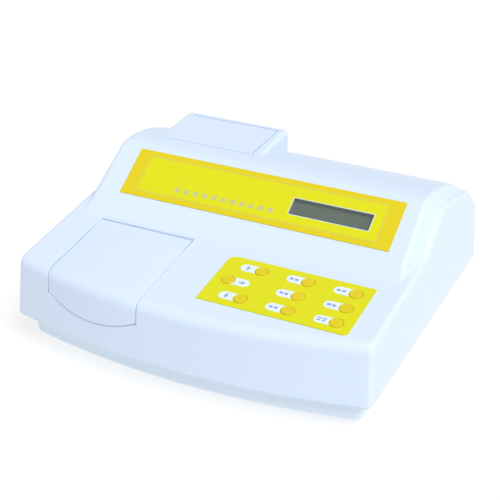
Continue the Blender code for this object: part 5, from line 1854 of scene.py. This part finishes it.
class TESTER_OT_rear(bpy.types.Operator):
    """Make the rear panel with the mains inlet, the switch, the fuse and the signal socket"""
    bl_idname = "tester.rear"
    bl_label = "Rear panel"

    def execute(self, context):
        rear_panel()
        panel_screws()
        mains_inlet()
        power_switch()
        rocker()
        fuse()
        signal_port()
        return {"FINISHED"}


# ---------------------------------------------------------------- supply
def transformer():
    """A frame transformer: stacked iron round a wound bobbin."""
    low, high, centre, _half = extent("transformer")
    half = (high - low) / 2
    core = slab("transformer_core", (low.x, centre.y - half.y * 0.55, low.z),
                (high.x, centre.y + half.y * 0.55, high.z))
    for side in (-1, 1):
        x = centre.x + side * half.x * 0.45
        combine(core, slab("core_window", (x - half.x * 0.22, low.y - WALL, low.z + half.z * 0.35),
                           (x + half.x * 0.22, high.y + WALL, high.z - half.z * 0.35)))
    bevel_edges(core, 0.0004, 2)
    coil = slab("transformer_coil", (centre.x - half.x * 0.64, low.y, low.z + half.z * 0.38),
                (centre.x + half.x * 0.64, high.y, high.z - half.z * 0.38))
    bevel_edges(coil, 0.0060, 6, lambda edge: abs(edge.verts[0].co.z - edge.verts[1].co.z) > half.z)
    dress(core, "iron", "transformer")
    dress(coil, "copper", "transformer")


# Chips on the main board: place, width, length and height; capacitors: place, radius and height.
CHIPS = ((0.03, 0.03, 0.018, 0.008, 0.003), (0.06, 0.07, 0.026, 0.010, 0.003),
         (0.10, 0.04, 0.014, 0.014, 0.0025), (0.12, 0.085, 0.010, 0.006, 0.003))
CANS = ((0.02, 0.09, 0.004, 0.010), (0.032, 0.09, 0.004, 0.010), (0.085, 0.02, 0.005, 0.012))


def board_parts():
    """Chips and capacitors on the main board."""
    low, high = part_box("main_board")
    parts = []
    for n, (x, y, width, length, height) in enumerate(CHIPS):
        chip = slab(f"board_chip_{n}", (low.x + x, low.y + y, high.z - 0.0002),
                    (low.x + x + width, low.y + y + length, high.z + height))
        parts.append(bevel_edges(chip, 0.0004, 2))
    for n, (x, y, radius, height) in enumerate(CANS):
        profile = [(0.0, -0.0002), (radius, -0.0002), (radius, height - 0.0012),
                   (radius - 0.0005, height - 0.0009), (radius, height - 0.0006),
                   (radius - 0.0006, height), (0.0, height - 0.0002)]
        parts.append(turned(f"board_can_{n}", profile, 32, (low.x + x, low.y + y, high.z)))
    dress(join(parts, "board_parts"), "black")


class TESTER_OT_supply(bpy.types.Operator):
    """Make the transformer and the parts on the main board"""
    bl_idname = "tester.supply"
    bl_label = "Supply and main board"

    def execute(self, context):
        transformer()
        board_parts()
        repaint("main_board", "board")
        return {"FINISHED"}


# ---------------------------------------------------------------- stage
EYE = (0.45758, -0.94381, 0.64854)
HEADING = radians(25.9)
DIP = radians(28.73)
SENSOR = 36.0
SUN_AIM = (-0.485, 0.255, -0.836)
SUN_WIDTH = radians(40)
FLOOR_SIZE = 60.0
WHITE = (1.0, 1.0, 1.0, 1.0)


def make_camera(lens):
    bpy.ops.object.camera_add(location=EYE)
    camera = bpy.context.active_object
    camera.name = "camera"
    camera.rotation_euler = (pi / 2 - DIP, 0.0, HEADING)
    camera.data.lens = lens
    camera.data.sensor_width = SENSOR
    camera.data.clip_start = 0.01
    bpy.context.scene.camera = camera


def make_lights(stage):
    bpy.ops.object.light_add(type="SUN", location=(1.2, -0.2, 1.0))
    sun = bpy.context.active_object
    sun.name = "soft_sun"
    sun.rotation_euler = Vector(SUN_AIM).to_track_quat("-Z", "Y").to_euler()
    sun.data.energy = stage.sun
    sun.data.angle = SUN_WIDTH
    world = bpy.data.worlds.new("studio")
    world.use_nodes = True
    sky = world.node_tree.nodes["Background"]
    sky.inputs["Color"].default_value = WHITE
    sky.inputs["Strength"].default_value = stage.sky
    bpy.context.scene.world = world
    bpy.context.scene.view_settings.view_transform = "Standard"


def make_floor(colour, glow):
    bpy.ops.mesh.primitive_grid_add(x_subdivisions=4, y_subdivisions=4, size=FLOOR_SIZE)
    floor = bake_place(named("floor"))
    made = Finish("table_top", colour, 0.65, Emission_Color=WHITE, Emission_Strength=glow)
    made.shade(0.006, made.noise(6.0, 2.0))
    floor.data.materials.append(made.material)


class TESTER_OT_stage(bpy.types.Operator):
    """Set the tester on a pale table under soft light, in front of the camera"""
    bl_idname = "tester.stage"
    bl_label = "Stage"

    def execute(self, context):
        stage = context.scene.tester_stage
        make_floor(stage.floor_colour, stage.floor_glow)
        make_lights(stage)
        make_camera(stage.lens)
        return {"FINISHED"}


# ---------------------------------------------------------------- panel
SETTINGS = {"tester_case": TesterCase, "tester_print": TesterPrint, "tester_stage": TesterStage}
STEPS = [TESTER_OT_case, TESTER_OT_lid, TESTER_OT_hatch, TESTER_OT_display, TESTER_OT_keypad, TESTER_OT_base,
         TESTER_OT_compartment, TESTER_OT_optics, TESTER_OT_rear, TESTER_OT_supply, TESTER_OT_stage]


class TESTER_PT_tools(bpy.types.Panel):
    """The tester's pieces, in the order of making"""
    bl_idname = "TESTER_PT_tools"
    bl_label = "Water tester"
    bl_space_type = "VIEW_3D"
    bl_region_type = "UI"
    bl_category = "Water tester"

    def draw(self, context):
        for step in STEPS:
            self.layout.operator(step.bl_idname)
        for name, kind in SETTINGS.items():
            box = self.layout.box()
            for setting in kind.__annotations__:
                box.prop(getattr(context.scene, name), setting)


def register():
    for kind in (*SETTINGS.values(), *STEPS, TESTER_PT_tools):
        bpy.utils.register_class(kind)
    for name, kind in SETTINGS.items():
        setattr(bpy.types.Scene, name, PointerProperty(type=kind))


def unregister():
    for name in SETTINGS:
        delattr(bpy.types.Scene, name)
    for kind in (TESTER_PT_tools, *reversed(STEPS), *SETTINGS.values()):
        bpy.utils.unregister_class(kind)


def main():
    register()
    for step in STEPS:
        group, name = step.bl_idname.split(".")
        getattr(getattr(bpy.ops, group), name)()


if __name__ == "__main__":
    main()
